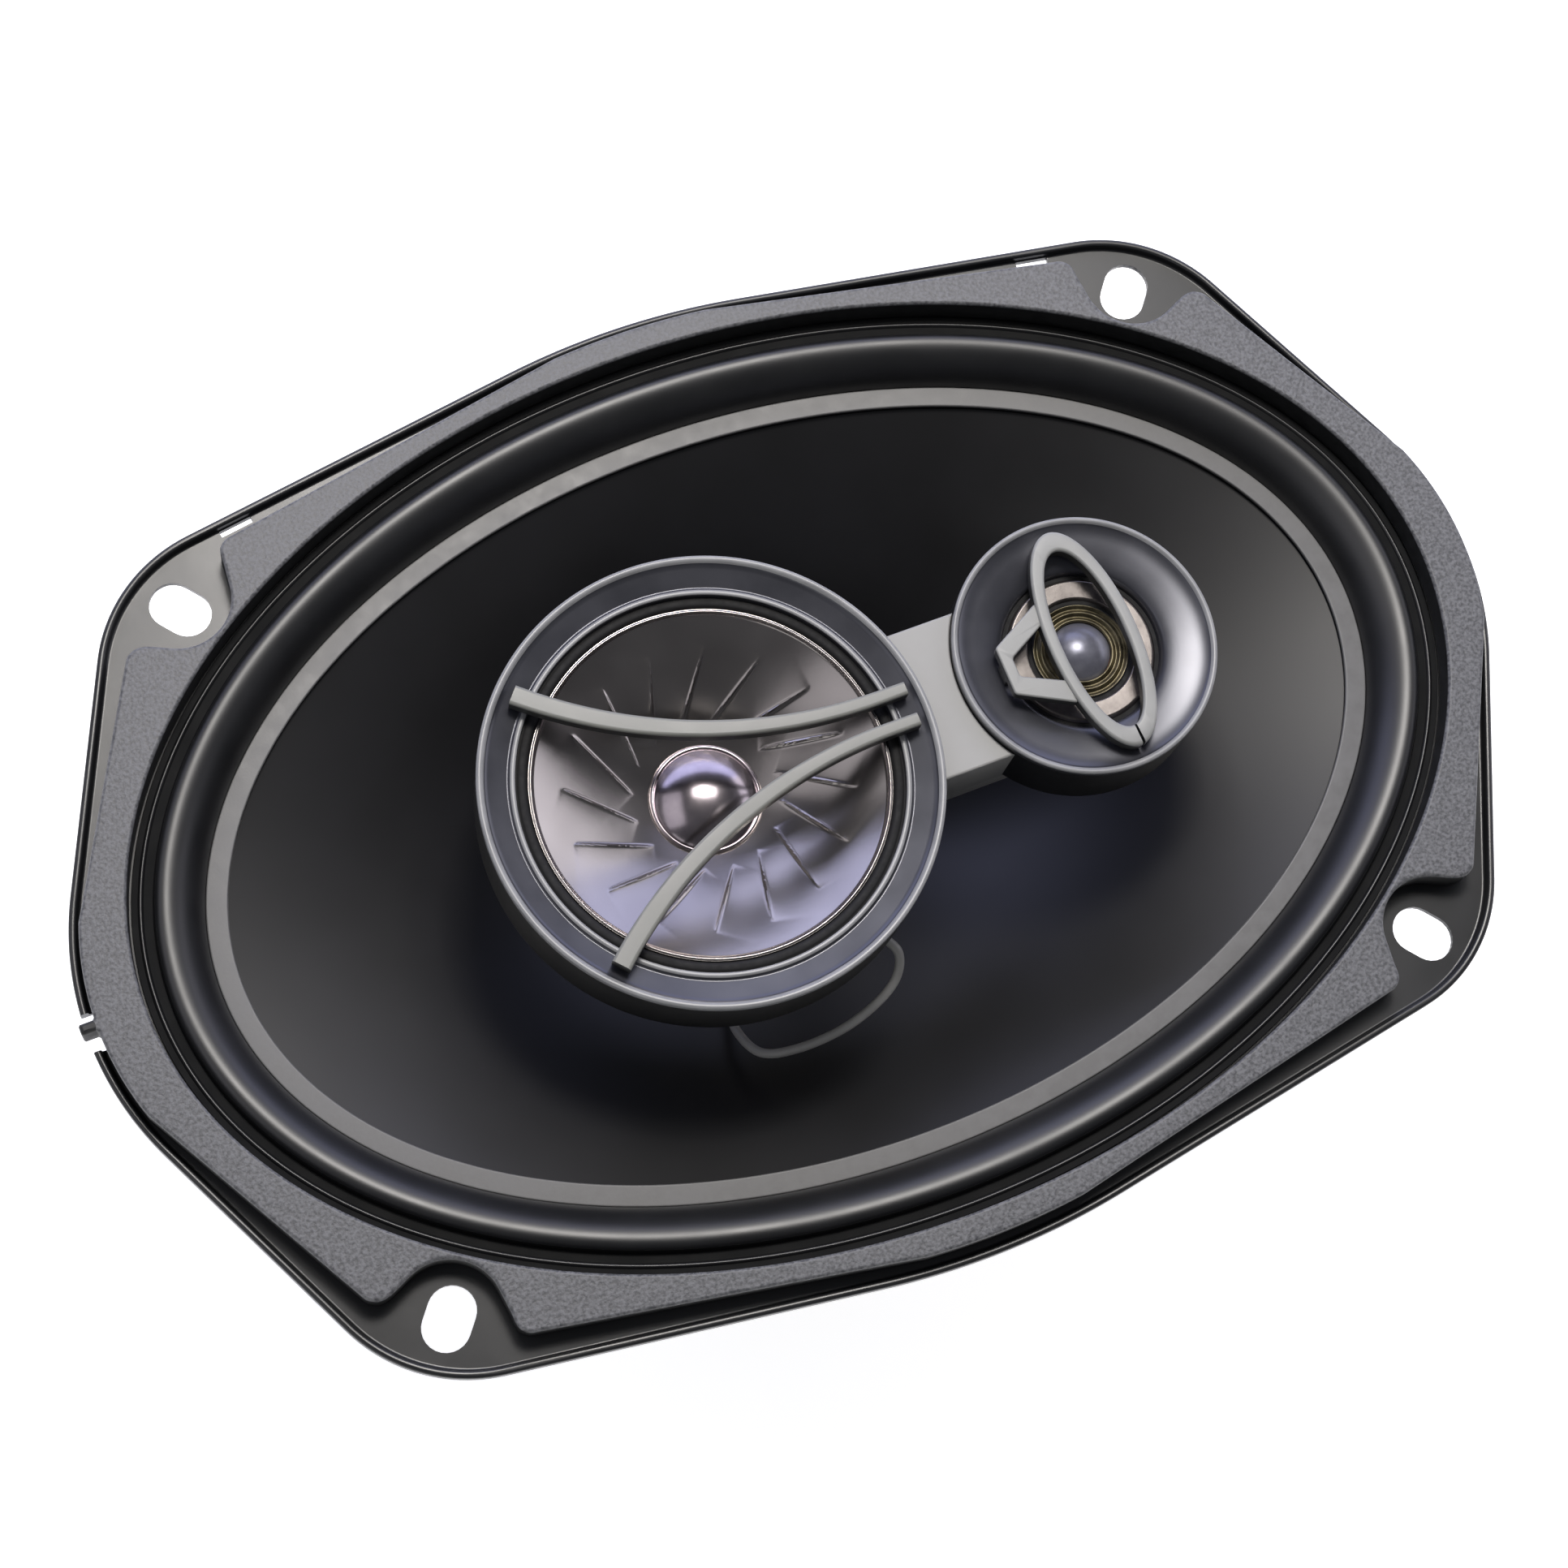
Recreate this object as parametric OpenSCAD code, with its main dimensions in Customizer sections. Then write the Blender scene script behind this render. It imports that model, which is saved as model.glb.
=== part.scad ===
// Oval three-way coaxial car speaker, each piece a solid of its own.
// Z = 0 is the rear face of the steel flange, +Z faces the listener, +X runs along the long axis.

/* [Flange] */
// Overall length of the steel flange
flange_l = 235; // [200:1:290]
// Overall width of the steel flange
flange_w = 161; // [134:1:200]
// Sheet thickness of the flange
flange_t = 1; // [0.8:0.1:1.5]
// Radius of each end of the flange
end_r = 50; // [44:1:60]
// Radius of each long side of the flange
side_r = 128; // [110:1:160]
// Radius of each corner ear
ear_r = 26; // [22:1:30]
// Height of the rolled lip above the flange
lip_h = 1.5; // [1:0.1:2]
// Thickness of the rolled lip
lip_t = 1.2; // [1:0.1:1.6]

/* [Mounting slots] */
// Slot centre to the end of the flange
slot_from_end = 35.2; // [33:0.1:38]
// Slot centre to the long side of the flange
slot_from_side = 21.5; // [20:0.1:23]
// Width of a slot
slot_w = 7.4; // [5:0.1:8]
// Length of a slot from end to end
slot_l = 10.1; // [8.5:0.1:12]
// Angle between a slot and the long axis
slot_turn = 51; // [40:1:60]
// Length of a grille clip slot
clip_slot_l = 5.5; // [4:0.1:7]
// Width of a grille clip slot
clip_slot_w = 1; // [0.8:0.1:1.4]
// Clip slot centre to the end of the flange
clip_from_end = 47.9; // [44:0.1:52]
// Width of the locating notch in the flange end
notch_w = 6; // [4:0.1:8]
// Depth of the locating notch
notch_depth = 2.5; // [2:0.1:3]

/* [Gasket] */
// Height of the gasket above the flange
gasket_h = 5.5; // [4.5:0.1:7]
// Gasket edge to flange edge at the ends
gasket_end_inset = 1.9; // [1.6:0.1:3]
// Gasket edge to flange edge at the ears
gasket_ear_inset = 4.9; // [3:0.1:6]
// Gasket edge to flange edge at the long sides
gasket_side_inset = 2.6; // [1.6:0.1:4]
// Flange edge to the opening at the ends
border_end = 9.5; // [8:0.1:12]
// Flange edge to the opening at the long sides
border_side = 6.8; // [6:0.1:9]
// Radius of the clearance around a mounting slot
ear_pocket_r = 8.2; // [7:0.1:9]

/* [Basket] */
// Sheet thickness of the basket walls
basket_t = 1.2; // [1:0.1:1.6]
// Depth of the rim wall behind the flange
rim_wall_h = 9; // [7:0.5:12]
// Depth of the spider ledge behind the flange
ledge_depth = 44; // [40:0.5:50]
// Outer radius of the spider ledge
ledge_r = 54; // [53:0.5:60]
// Depth of the cup below the spider ledge
cup_h = 8; // [7:0.5:10]
// Outer radius of the cup
cup_r = 45.2; // [44:0.1:48]
// Width of a spoke
spoke_w = 18; // [14:0.5:24]
// Thickness of a spoke, measured along the flange plane
spoke_t = 2; // [1.6:0.1:3]

/* [Motor] */
// Radius of the top plate
top_plate_r = 43; // [40:0.5:46]
// Thickness of the top plate
top_plate_t = 5; // [4:0.5:7]
// Radius of the magnet
magnet_r = 45; // [40:0.5:55]
// Thickness of the magnet
magnet_t = 14; // [13:0.5:20]
// Radius of the hole through the magnet
magnet_hole_r = 22; // [18:0.5:26]
// Radius of the back plate
back_plate_r = 41; // [38:0.5:46]
// Thickness of the back plate
back_plate_t = 5; // [4:0.5:7]
// Radius of the woofer voice coil former, inside
former_r = 12.7; // [12:0.1:15]
// Wall of the voice coil former
former_t = 0.25; // [0.2:0.05:0.4]
// Build of the winding on the former
winding_t = 0.55; // [0.4:0.05:0.8]
// Length of the winding
winding_h = 12; // [10:0.5:14]
// Clearance on each side of the voice coil in the gap
gap_clearance = 0.45; // [0.3:0.05:0.7]

/* [Cone and suspension] */
// Width of the flat outer band of the surround
surround_flat_w = 3.6; // [3:0.1:5]
// Width of the surround roll
roll_w = 7.7; // [6:0.1:9]
// Height of the surround roll
roll_h = 3.7; // [3:0.1:4.3]
// Thickness of the surround
surround_t = 0.8; // [0.6:0.1:1]
// Width of the cone trim ring
trim_w = 3.4; // [2.5:0.1:5]
// Depth of the cone rim behind the flange
cone_rim_depth = 3.1; // [2:0.1:4]
// Depth of the cone neck behind the flange
cone_neck_depth = 38; // [34:0.5:39]
// Thickness of the cone
cone_t = 0.9; // [0.6:0.1:1.2]
// Thickness of the spider
spider_t = 0.5; // [0.4:0.1:0.8]

/* [Midrange] */
// Distance of the midrange from the centre, towards -X
midrange_x = 18.1; // [17:0.1:22]
// Outer radius of the midrange
midrange_r = 35.6; // [34:0.1:38]
// Height of the midrange rim above the flange's rear face
midrange_top = 20.3; // [18:0.1:24]
// Radius of the midrange cone
midrange_cone_r = 27.7; // [26:0.1:28]
// Radius of the midrange dust cap
dust_cap_r = 8.7; // [8.5:0.1:10]
// Width of a midrange guard bar
guard_bar_w = 2.6; // [2:0.1:3]

/* [Tweeter] */
// Gap between the rims of the midrange and the tweeter
rim_gap = 5.9; // [4:0.1:12]
// Outer radius of the tweeter
tweeter_r = 21; // [20:0.1:23]
// Height of the tweeter rim above the flange's rear face
tweeter_top = 19.7; // [18:0.1:24]
// Radius of the tweeter's throat
throat_r = 11.6; // [11:0.1:13]
// Radius of the tweeter dome
dome_r = 4.8; // [4.6:0.1:5.4]

/* [Bridge and post] */
// Width of the bridge
bridge_w = 24.5; // [22:0.5:28]
// Height of the bridge's visible face above the flange's rear face
bridge_top = 18; // [16:0.1:19]
// Height of the bridge plate's upper face
seat_z = 6; // [5:0.1:7]
// Thickness of the bridge plate
bridge_plate_t = 3; // [2.5:0.1:4]
// Radius of the centre post
post_r = 4; // [3.5:0.1:4.3]

/* [Terminals] */
// Width of the terminal board
board_w = 30; // [28:0.5:34]
// Thickness of the terminal board
board_t = 1.6; // [1.2:0.1:2.4]
// Width of the positive tab
wide_tab_w = 6.3; // [5.5:0.1:7]
// Width of the negative tab
narrow_tab_w = 4.8; // [4:0.1:6]
// Radius of a crossover capacitor
capacitor_r = 4; // [3.5:0.1:5]

/* [Hidden] */

round_fn = 96;
small_fn = 48;
ring_steps = 72;
fit = 0.05;
joint_gap = 0.3;
end_angle = 25;
side_angle = 81;

// Steps of depth through the basket and the motor
ledge_z = -ledge_depth;
cup_z = ledge_z - cup_h;
top_plate_z = cup_z - top_plate_t;
magnet_z = top_plate_z - magnet_t;
back_z = magnet_z - back_plate_t;
pole_top_z = cup_z + 0.5;

// Radii through the magnetic gap
pole_r = former_r - gap_clearance;
former_or = former_r + former_t;
winding_r = former_or + winding_t;
top_plate_hole_r = winding_r + gap_clearance;
winding_z = cup_z - top_plate_t / 2 - winding_h / 2;
former_top_z = -cone_neck_depth + 1.5;

// Half-axes of the front opening, and what is offset inwards from them
open_a = flange_l / 2 - border_end;
open_b = flange_w / 2 - border_side;
basket_open_d = surround_flat_w + 1.6;
roll_in_d = surround_flat_w + roll_w;
trim_in_d = roll_in_d + trim_w;
neck_r = former_or + fit;

// Corner slots and the flange outline's centres
slot_x = flange_l / 2 - slot_from_end;
slot_y = flange_w / 2 - slot_from_side;
end_centre = [flange_l / 2 - end_r, 0];
side_centre = [0, flange_w / 2 - side_r];
end_reach = end_centre[0] * cos(end_angle) + end_r - ear_r;
side_reach = side_centre[1] * sin(side_angle) + side_r - ear_r;
ear_spread = sin(side_angle - end_angle);
ear_centre = [
  (end_reach * sin(side_angle) - side_reach * sin(end_angle)) / ear_spread,
  (side_reach * cos(end_angle) - end_reach * cos(side_angle)) / ear_spread
];

spoke_angles = [0, 50, 130, 180, 230, 310];
rivet_ring_r = 36;
rivet_r = 2;
basket_hole_r = 28;
spoke_foot = 0.4;
spider_or = ledge_r - spoke_t - joint_gap;

// Centre post and its fastenings
nut_pocket_r = 7.5;
nut_pocket_h = 5.2;
stud_r = 3;
washer_t = 1;
nut_h = 4;
nut_flats = 10;
collar_r = 8;
collar_h = 2;
post_screw_r = 2;
post_screw_head_r = 3.6;
post_screw_head_h = 2.2;
boss_r = post_r + 2.2;
boss_h = 9;
end_pad_r = 14;
seat_pad_r = 21;
plate_under_z = seat_z - bridge_plate_t;

// Screws that hold the two small drivers down on the bridge
midrange_screw_at = 17;
tweeter_screw_at = 11;
small_screw_r = 1.25;
small_head_r = 2.3;
small_head_h = 1.6;
small_thread_h = 2.4;

// Midrange levels and radii
midrange_floor_t = 1.5;
midrange_wall_t = 1.7;
midrange_magnet_r = 6.5;
midrange_magnet_h = 5;
midrange_pole_plate_h = 3;
midrange_yoke_t = 2.5;
yoke_gap = 0.45;
yoke_drop = 0.9;
midrange_seat_z = midrange_top - 3.4;
midrange_edge_z = midrange_top - 2.7;
cap_base_z = midrange_top - 12.1;
midrange_coil_r = 7.75;
midrange_gap = 0.35;
midrange_yoke_r = 11.5;
midrange_yoke_floor = plate_under_z - 6.5;
bezel_in_r = midrange_cone_r + 1.9;
bezel_skirt_r = midrange_r - midrange_wall_t - joint_gap;

// Midrange guard bars
bar_arc_r = 78;
bar_centre_x = 28;
bar_half_gap = 2.6;
bar_z = midrange_top - 1;
bar_h = 2.6;

// Tweeter levels and radii
tweeter_x = midrange_r + rim_gap + tweeter_r - midrange_x;
tweeter_floor_t = 1.5;
tweeter_wall_t = 1.5;
tweeter_seat_z = tweeter_top - 4.2;
tweeter_coil_r = dome_r - 0.15;
tweeter_gap = 0.25;
tweeter_yoke_r = 9;
tweeter_yoke_h = 6;
tweeter_yoke_t = 2;
tweeter_magnet_r = 3.8;
tweeter_magnet_h = 2;
throat_z = tweeter_top - 3.6;
dish_z = tweeter_top - 0.9;
guard_ring_a = 7.25;
guard_ring_b = 18.35;
guard_side_w = 2.05;
guard_end_w = 3.9;
guard_ring_shift = 1;
guard_z = tweeter_top - 0.7;
guard_h = 2.6;

// Terminal board, set outside the spider ledge on the -Y side
tab_t = 0.8;
tab_plate_y = -ledge_r - basket_t;
tab_plate_h = 14;
board_z = ledge_z - 15;
board_h = 14;
terminal_x = 7;
terminal_rivet_z = ledge_z - 6;
terminal_rivet_r = 1.5;
terminal_tail_h = 13;
capacitor_l = 16;
capacitor_x = 11;

// Leads: points along each one, chosen by hand
lead_r = 0.75;
tinsel_r = 0.8;
midrange_lead_route = [
  [-1, -26, 6.4], [0.5, -29, 3.2], [2, -32, 1.8], [0.8, -35, -1], [-3, -37.3, -3], [-9.5, -39, -5],
  [-17, -39, -7], [-22, -37, -10], [-23.5, -31.5, -14], [-22, -26.5, -18], [-21.7, -25.4, -21.7]
];
tinsel_route = [
  [7, -58.4, -47.7], [7, -58.4, -44.5], [7, -56.5, -41], [7, -52, -38.5], [7, -46, -37.5],
  [7, -40, -38], [6, -33, -37], [5, -26, -38.5], [4, -19, -39.5], [3.4, -13.8, -40.3]
];
eyelet_r = 1.8;
eyelet_h = 1.6;
eyelet_at = [-22, -26, -23.3];
eyelet_lean = [-32, 15, 0];

// Points on an ellipse whose half-axes are set in by d from the front opening
function opening_ring(d) = [
  for (i = [0:ring_steps - 1])
    [(open_a - d) * cos(360 * i / ring_steps), (open_b - d) * sin(360 * i / ring_steps)]
];

function ellipse_points(a, b) = [
  for (i = [0:ring_steps - 1]) [a * cos(360 * i / ring_steps), b * sin(360 * i / ring_steps)]
];

function arc_points(centre, r, from, to, steps) = [
  for (i = [0:steps]) centre + r * [cos(from + (to - from) * i / steps), sin(from + (to - from) * i / steps)]
];

// One quarter of the flange outline, set in by three distances, from +X round to +Y
function outline_quarter(end_in, ear_in, side_in, ease) = concat(
  arc_points(end_centre, end_r - end_in, 0, end_angle - ease, 6),
  arc_points(ear_centre, ear_r - ear_in, end_angle + ease, side_angle - ease / 2, 12),
  arc_points(side_centre, side_r - side_in, side_angle + ease / 2, 90, 4)
);

// The four quarters in one ring; the points on the axes are not repeated
function outline(end_in, ear_in, side_in, ease) = let (
  q = outline_quarter(end_in, ear_in, side_in, ease),
  last = len(q) - 1
) concat(
  [for (i = [0:last]) q[i]],
  [for (i = [last - 1:-1:0]) [-q[i][0], q[i][1]]],
  [for (i = [1:last]) [-q[i][0], -q[i][1]]],
  [for (i = [last - 1:-1:1]) [q[i][0], -q[i][1]]]
);

// How far the rim wall's ellipse lies from the centre in one direction
function rim_reach(angle) = let (
  a = open_a - basket_open_d + basket_t / 2,
  b = open_b - basket_open_d + basket_t / 2
) a * b / sqrt(pow(b * cos(angle), 2) + pow(a * sin(angle), 2));

// Depth of the cone's front face at a share s of the way from rim to neck
function cone_z(s) = -cone_rim_depth - (cone_neck_depth - cone_rim_depth) * (0.75 * s + 0.25 * s * s);

function cone_half_axes(s) = [
  (open_a - trim_in_d) * (1 - s) + neck_r * s,
  (open_b - trim_in_d) * (1 - s) + neck_r * s
];

// A closed loop of elliptical rings [half-axis x, half-axis y, z] joined into one solid
module ring_solid(rings) {
  count = len(rings);
  points = [
    for (r = rings) for (k = [0:ring_steps - 1])
      [r[0] * cos(360 * k / ring_steps), r[1] * sin(360 * k / ring_steps), r[2]]
  ];
  faces = [
    for (i = [0:count - 1]) for (k = [0:ring_steps - 1])
      let (
        j = (i + 1) % count,
        n = (k + 1) % ring_steps,
        p = i * ring_steps + k,
        q = i * ring_steps + n,
        s = j * ring_steps + k,
        t = j * ring_steps + n
      ) each [[p, s, q], [q, s, t]]
  ];
  polyhedron(points, faces, 4);
}

// A point on the Catmull-Rom curve through four points
function curve_point(a, b, c, d, t) =
  0.5 * (2 * b + (c - a) * t + (2 * a - 5 * b + 4 * c - d) * t * t + (3 * b - a - 3 * c + d) * t * t * t);

function smooth_route(route, steps) = let (last = len(route) - 1) concat(
  [
    for (i = [0:last - 1]) for (k = [0:steps - 1])
      curve_point(
        route[max(i - 1, 0)], route[i], route[i + 1], route[min(i + 2, last)], k / steps
      )
  ],
  [route[last]]
);

function unit(v) = v / norm(v);

// A round lead swept along its own route
module lead(route, r, steps) {
  path = smooth_route(route, steps);
  last = len(path) - 1;
  sides = 8;
  points = [
    for (i = [0:last])
      let (
        along = unit(path[min(i + 1, last)] - path[max(i - 1, 0)]),
        across = unit(cross(along, [0.3, 0.2, 1])),
        up = cross(across, along)
      )
      for (k = [0:sides - 1])
        path[i] + r * (cos(360 * k / sides) * across + sin(360 * k / sides) * up)
  ];
  walls = [
    for (i = [0:last - 1]) for (k = [0:sides - 1])
      let (
        n = (k + 1) % sides,
        p = i * sides + k,
        q = i * sides + n
      ) each [[p, q, p + sides], [q, q + sides, p + sides]]
  ];
  caps = [
    [for (k = [sides - 1:-1:0]) k],
    [for (k = [0:sides - 1]) last * sides + k]
  ];
  polyhedron(points, concat(walls, caps), 4);
}

module disc(r, z, h) {
  translate([0, 0, z])
    cylinder(r = r, h = h, $fn = round_fn);
}

module tube(outer, inner, z, h) {
  difference() {
    disc(outer, z, h);
    disc(inner, z - 1, h + 2);
  }
}

module turned(points) {
  rotate_extrude($fn = round_fn)
    polygon(points);
}

module at_corners(turn = 45) {
  for (sx = [-1, 1])
    for (sy = [-1, 1])
      translate([sx * slot_x, sy * slot_y, 0])
        rotate(atan2(sy * sin(turn), sx * cos(turn)))
          children();
}

module slot_shape(length, width) {
  reach = (length - width) / 2;
  for (s = [-1, 1])
    translate([s * reach, 0])
      circle(r = width / 2, $fn = small_fn);
  square([2 * reach, width], center = true);
}

module flange_cuts() {
  translate([0, 0, -1])
    linear_extrude(flange_t + lip_h + 2) {
      at_corners(slot_turn)
        slot_shape(slot_l, slot_w);
      for (s = [-1, 1])
        translate([s * (flange_l / 2 - clip_from_end), clip_slot_y()])
          rotate(-s * (90 - side_angle))
            square([clip_slot_l, clip_slot_w], center = true);
      translate([-flange_l / 2, 0])
        square([2 * notch_depth, notch_w], center = true);
    }
}

// The clip slots lie just inside the rolled lip, on the long side's arc or its straight run
function clip_slot_y() = let (
  inset = lip_t + clip_slot_w / 2 + 0.3,
  reach = side_centre[1] * sin(side_angle) + side_r - inset
) (reach - (flange_l / 2 - clip_from_end) * cos(side_angle)) / sin(side_angle);

module flange() {
  linear_extrude(flange_t)
    difference() {
      polygon(outline(0, 0, 0, 0));
      polygon(opening_ring(basket_open_d));
    }
  translate([0, 0, flange_t])
    linear_extrude(lip_h)
      difference() {
        polygon(outline(0, 0, 0, 0));
        polygon(outline(lip_t, lip_t, lip_t, 0));
      }
}

module rim_wall() {
  translate([0, 0, -rim_wall_h])
    linear_extrude(rim_wall_h + flange_t)
      difference() {
        polygon(opening_ring(basket_open_d - basket_t));
        polygon(opening_ring(basket_open_d));
      }
}

module spoke(angle) {
  top = rim_reach(angle);
  low = ledge_r + spoke_foot - spoke_t / 2;
  half = spoke_t / 2;
  foot_z = ledge_z - 0.7 * basket_t;
  rotate(angle)
    rotate([90, 0, 0])
      translate([0, 0, -spoke_w / 2])
        linear_extrude(spoke_w)
          polygon([
            [top - half, -rim_wall_h + 2], [top + half, -rim_wall_h + 2],
            [top + half, -rim_wall_h - 1], [low + half, foot_z],
            [low - half, foot_z], [top - half, -rim_wall_h - 1]
          ]);
}

module cup() {
  turned([
    [basket_hole_r, cup_z], [cup_r, cup_z], [cup_r, ledge_z - basket_t],
    [ledge_r, ledge_z - basket_t], [ledge_r, ledge_z], [cup_r - basket_t, ledge_z],
    [cup_r - basket_t, cup_z + basket_t], [basket_hole_r, cup_z + basket_t]
  ]);
}

module terminal_tab() {
  translate([-board_w / 2 + 2, tab_plate_y, ledge_z - basket_t])
    cube([board_w - 4, basket_t + 5, basket_t]);
  translate([-board_w / 2 + 2, tab_plate_y, ledge_z - tab_plate_h])
    cube([board_w - 4, basket_t, tab_plate_h]);
}

module basket() {
  color("#26272a")
    difference() {
      union() {
        flange();
        rim_wall();
        for (angle = spoke_angles)
          spoke(angle);
        cup();
        terminal_tab();
      }
      flange_cuts();
      at_plate_rivets()
        disc(rivet_r, cup_z - 1, basket_t + 2);
      at_terminals(1)
        terminal_bore();
      at_terminals(-1)
        terminal_bore();
    }
}

module gasket_ring() {
  nib_w = 2;
  color("#77777a")
    translate([0, 0, flange_t])
      linear_extrude(gasket_h) {
        difference() {
          polygon(outline(gasket_end_inset, gasket_ear_inset, gasket_side_inset, 6));
          polygon(opening_ring(0));
          at_corners() {
            circle(r = ear_pocket_r, $fn = round_fn);
            translate([0, -ear_pocket_r])
              square([3 * ear_pocket_r, 2 * ear_pocket_r]);
          }
        }
        translate([-flange_l / 2, -nib_w / 2])
          square([gasket_end_inset + 1, nib_w]);
      }
}

module at_plate_rivets() {
  for (i = [0:3])
    rotate(45 + 90 * i)
      translate([rivet_ring_r, 0, 0])
        children();
}

module top_plate() {
  color("#8d8f92")
    difference() {
      tube(top_plate_r, top_plate_hole_r, top_plate_z, top_plate_t);
      at_plate_rivets()
        disc(rivet_r, cup_z - 3, 4);
    }
}

module plate_rivets() {
  color("#b9bbbd")
    at_plate_rivets() {
      disc(rivet_r, cup_z - 3, basket_t + 3);
      disc(1.7 * rivet_r, cup_z + basket_t, 1.1);
    }
}

module magnet() {
  color("#3b3c3e")
    tube(magnet_r, magnet_hole_r, magnet_z, magnet_t);
}

module pole_yoke() {
  color("#8d8f92")
    difference() {
      union() {
        disc(back_plate_r, back_z, back_plate_t);
        disc(pole_r, back_z, pole_top_z - back_z);
      }
      disc(post_r + fit, back_z - 1, pole_top_z - back_z + 2);
      disc(nut_pocket_r, back_z - 1, nut_pocket_h + 1);
    }
}

module centre_post() {
  shoulder_z = back_z + nut_pocket_h;
  color("#b4b6b8")
    difference() {
      union() {
        disc(post_r, shoulder_z, plate_under_z - shoulder_z);
        disc(collar_r, pole_top_z, collar_h);
        disc(stud_r, back_z + 0.2, nut_pocket_h);
      }
      disc(post_screw_r, plate_under_z - 12, 13);
    }
}

module post_washer() {
  color("#c5c7c9")
    tube(stud_r + 3.6, stud_r + fit, back_z + nut_pocket_h - washer_t, washer_t);
}

module post_nut() {
  color("#c5c7c9")
    translate([0, 0, back_z + nut_pocket_h - washer_t - nut_h])
      difference() {
        cylinder(d = nut_flats / cos(30), h = nut_h, $fn = 6);
        translate([0, 0, -1])
          cylinder(r = stud_r, h = nut_h + 2, $fn = small_fn);
      }
}

module post_screw() {
  head_z = seat_z - 0.1 - post_screw_head_h;
  color("#c5c7c9")
    difference() {
      union() {
        disc(post_screw_r, plate_under_z - 10, head_z - plate_under_z + 10);
        disc(post_screw_head_r, head_z, post_screw_head_h);
      }
      translate([0, 0, head_z + 0.9])
        cylinder(d = 3, h = 2, $fn = 6);
    }
}

module at_midrange() {
  translate([-midrange_x, 0, 0])
    children();
}

module at_tweeter() {
  translate([tweeter_x, 0, 0])
    children();
}

module at_bridge_screws() {
  at_midrange()
    for (s = [-1, 1])
      translate([0, midrange_screw_at * s, 0])
        children();
  at_tweeter()
    for (s = [-1, 1])
      translate([tweeter_screw_at * s, 0, 0])
        children();
}

module bridge() {
  color("#a5a5a2")
    difference() {
      union() {
        translate([0, 0, plate_under_z])
          linear_extrude(bridge_plate_t) {
            translate([-midrange_x, 0])
              circle(r = seat_pad_r, $fn = round_fn);
            translate([tweeter_x, 0])
              circle(r = end_pad_r, $fn = round_fn);
            translate([-midrange_x, -bridge_w / 2])
              square([midrange_x + tweeter_x, bridge_w]);
          }
        difference() {
          translate([0, -bridge_w / 2, plate_under_z + 1])
            cube([tweeter_x, bridge_w, bridge_top - plate_under_z - 1]);
          at_midrange()
            disc(midrange_r + fit, seat_z, midrange_top);
          at_tweeter()
            disc(tweeter_r + fit, seat_z, tweeter_top);
        }
        disc(boss_r, plate_under_z - boss_h, boss_h + 1);
      }
      at_midrange()
        disc(midrange_yoke_r + joint_gap, plate_under_z - 1, bridge_plate_t + 2);
      disc(post_r + fit, plate_under_z - boss_h - 1, boss_h + 1);
      disc(post_screw_r + fit, plate_under_z - 1, bridge_plate_t + 2);
      disc(post_screw_head_r + fit, seat_z - 0.1 - post_screw_head_h, 3);
      at_bridge_screws()
        disc(small_screw_r + fit, plate_under_z - 1, bridge_plate_t + 2);
    }
}

module bridge_screws() {
  color("#c5c7c9")
    at_bridge_screws() {
      disc(small_screw_r, plate_under_z - 0.5, bridge_plate_t + small_thread_h - 0.5);
      disc(small_head_r, plate_under_z - small_head_h, small_head_h);
    }
}

module midrange_housing() {
  in_r = midrange_r - midrange_wall_t;
  ledge_in_r = bezel_in_r + 0.6;
  floor_top = seat_z + midrange_floor_t;
  color("#232427")
    at_midrange()
      difference() {
        turned([
          [midrange_yoke_r, seat_z], [midrange_r, seat_z], [midrange_r, midrange_top - 1.3],
          [in_r, midrange_top - 1.3], [in_r, midrange_seat_z], [ledge_in_r, midrange_seat_z],
          [ledge_in_r, midrange_seat_z - 2], [in_r - 1, midrange_seat_z - 4],
          [in_r - 1, floor_top], [midrange_yoke_r, floor_top]
        ]);
        for (s = [-1, 1])
          translate([0, midrange_screw_at * s, 0])
            disc(small_screw_r, seat_z - 1, small_thread_h);
      }
}

module midrange_bezel() {
  top = midrange_top;
  color("#3c3d42")
    at_midrange()
      turned([
        [midrange_r, top - 1.3], [midrange_r, top - 0.6], [midrange_r - 0.5, top - 0.1],
        [midrange_r - 0.9, top], [midrange_r - 1.4, top - 0.2], [midrange_r - 1.7, top - 0.9],
        [midrange_r - 3.4, top - 1.6], [bezel_in_r + 0.7, top - 1.3], [bezel_in_r + 0.3, top - 1],
        [bezel_in_r, top - 1.2], [bezel_in_r, midrange_seat_z + surround_t],
        [bezel_skirt_r, midrange_seat_z + surround_t], [bezel_skirt_r, top - 1.3]
      ]);
}

module midrange_guard_bars() {
  left_r = 33;
  right_r = 34;
  color("#8b8c88")
    at_midrange()
      translate([0, 0, bar_z])
        linear_extrude(bar_h)
          for (s = [-1, 1])
            intersection() {
              union() {
                difference() {
                  translate([bar_centre_x, s * (bar_half_gap + bar_arc_r)])
                    circle(r = bar_arc_r + guard_bar_w / 2, $fn = 360);
                  translate([bar_centre_x, s * (bar_half_gap + bar_arc_r)])
                    circle(r = bar_arc_r - guard_bar_w / 2, $fn = 360);
                  translate([bar_centre_x, -100])
                    square(200);
                }
                translate([bar_centre_x, s * bar_half_gap - guard_bar_w / 2])
                  square([20, guard_bar_w]);
              }
              circle(r = left_r + (right_r - left_r) / 2, $fn = round_fn);
            }
}

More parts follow.
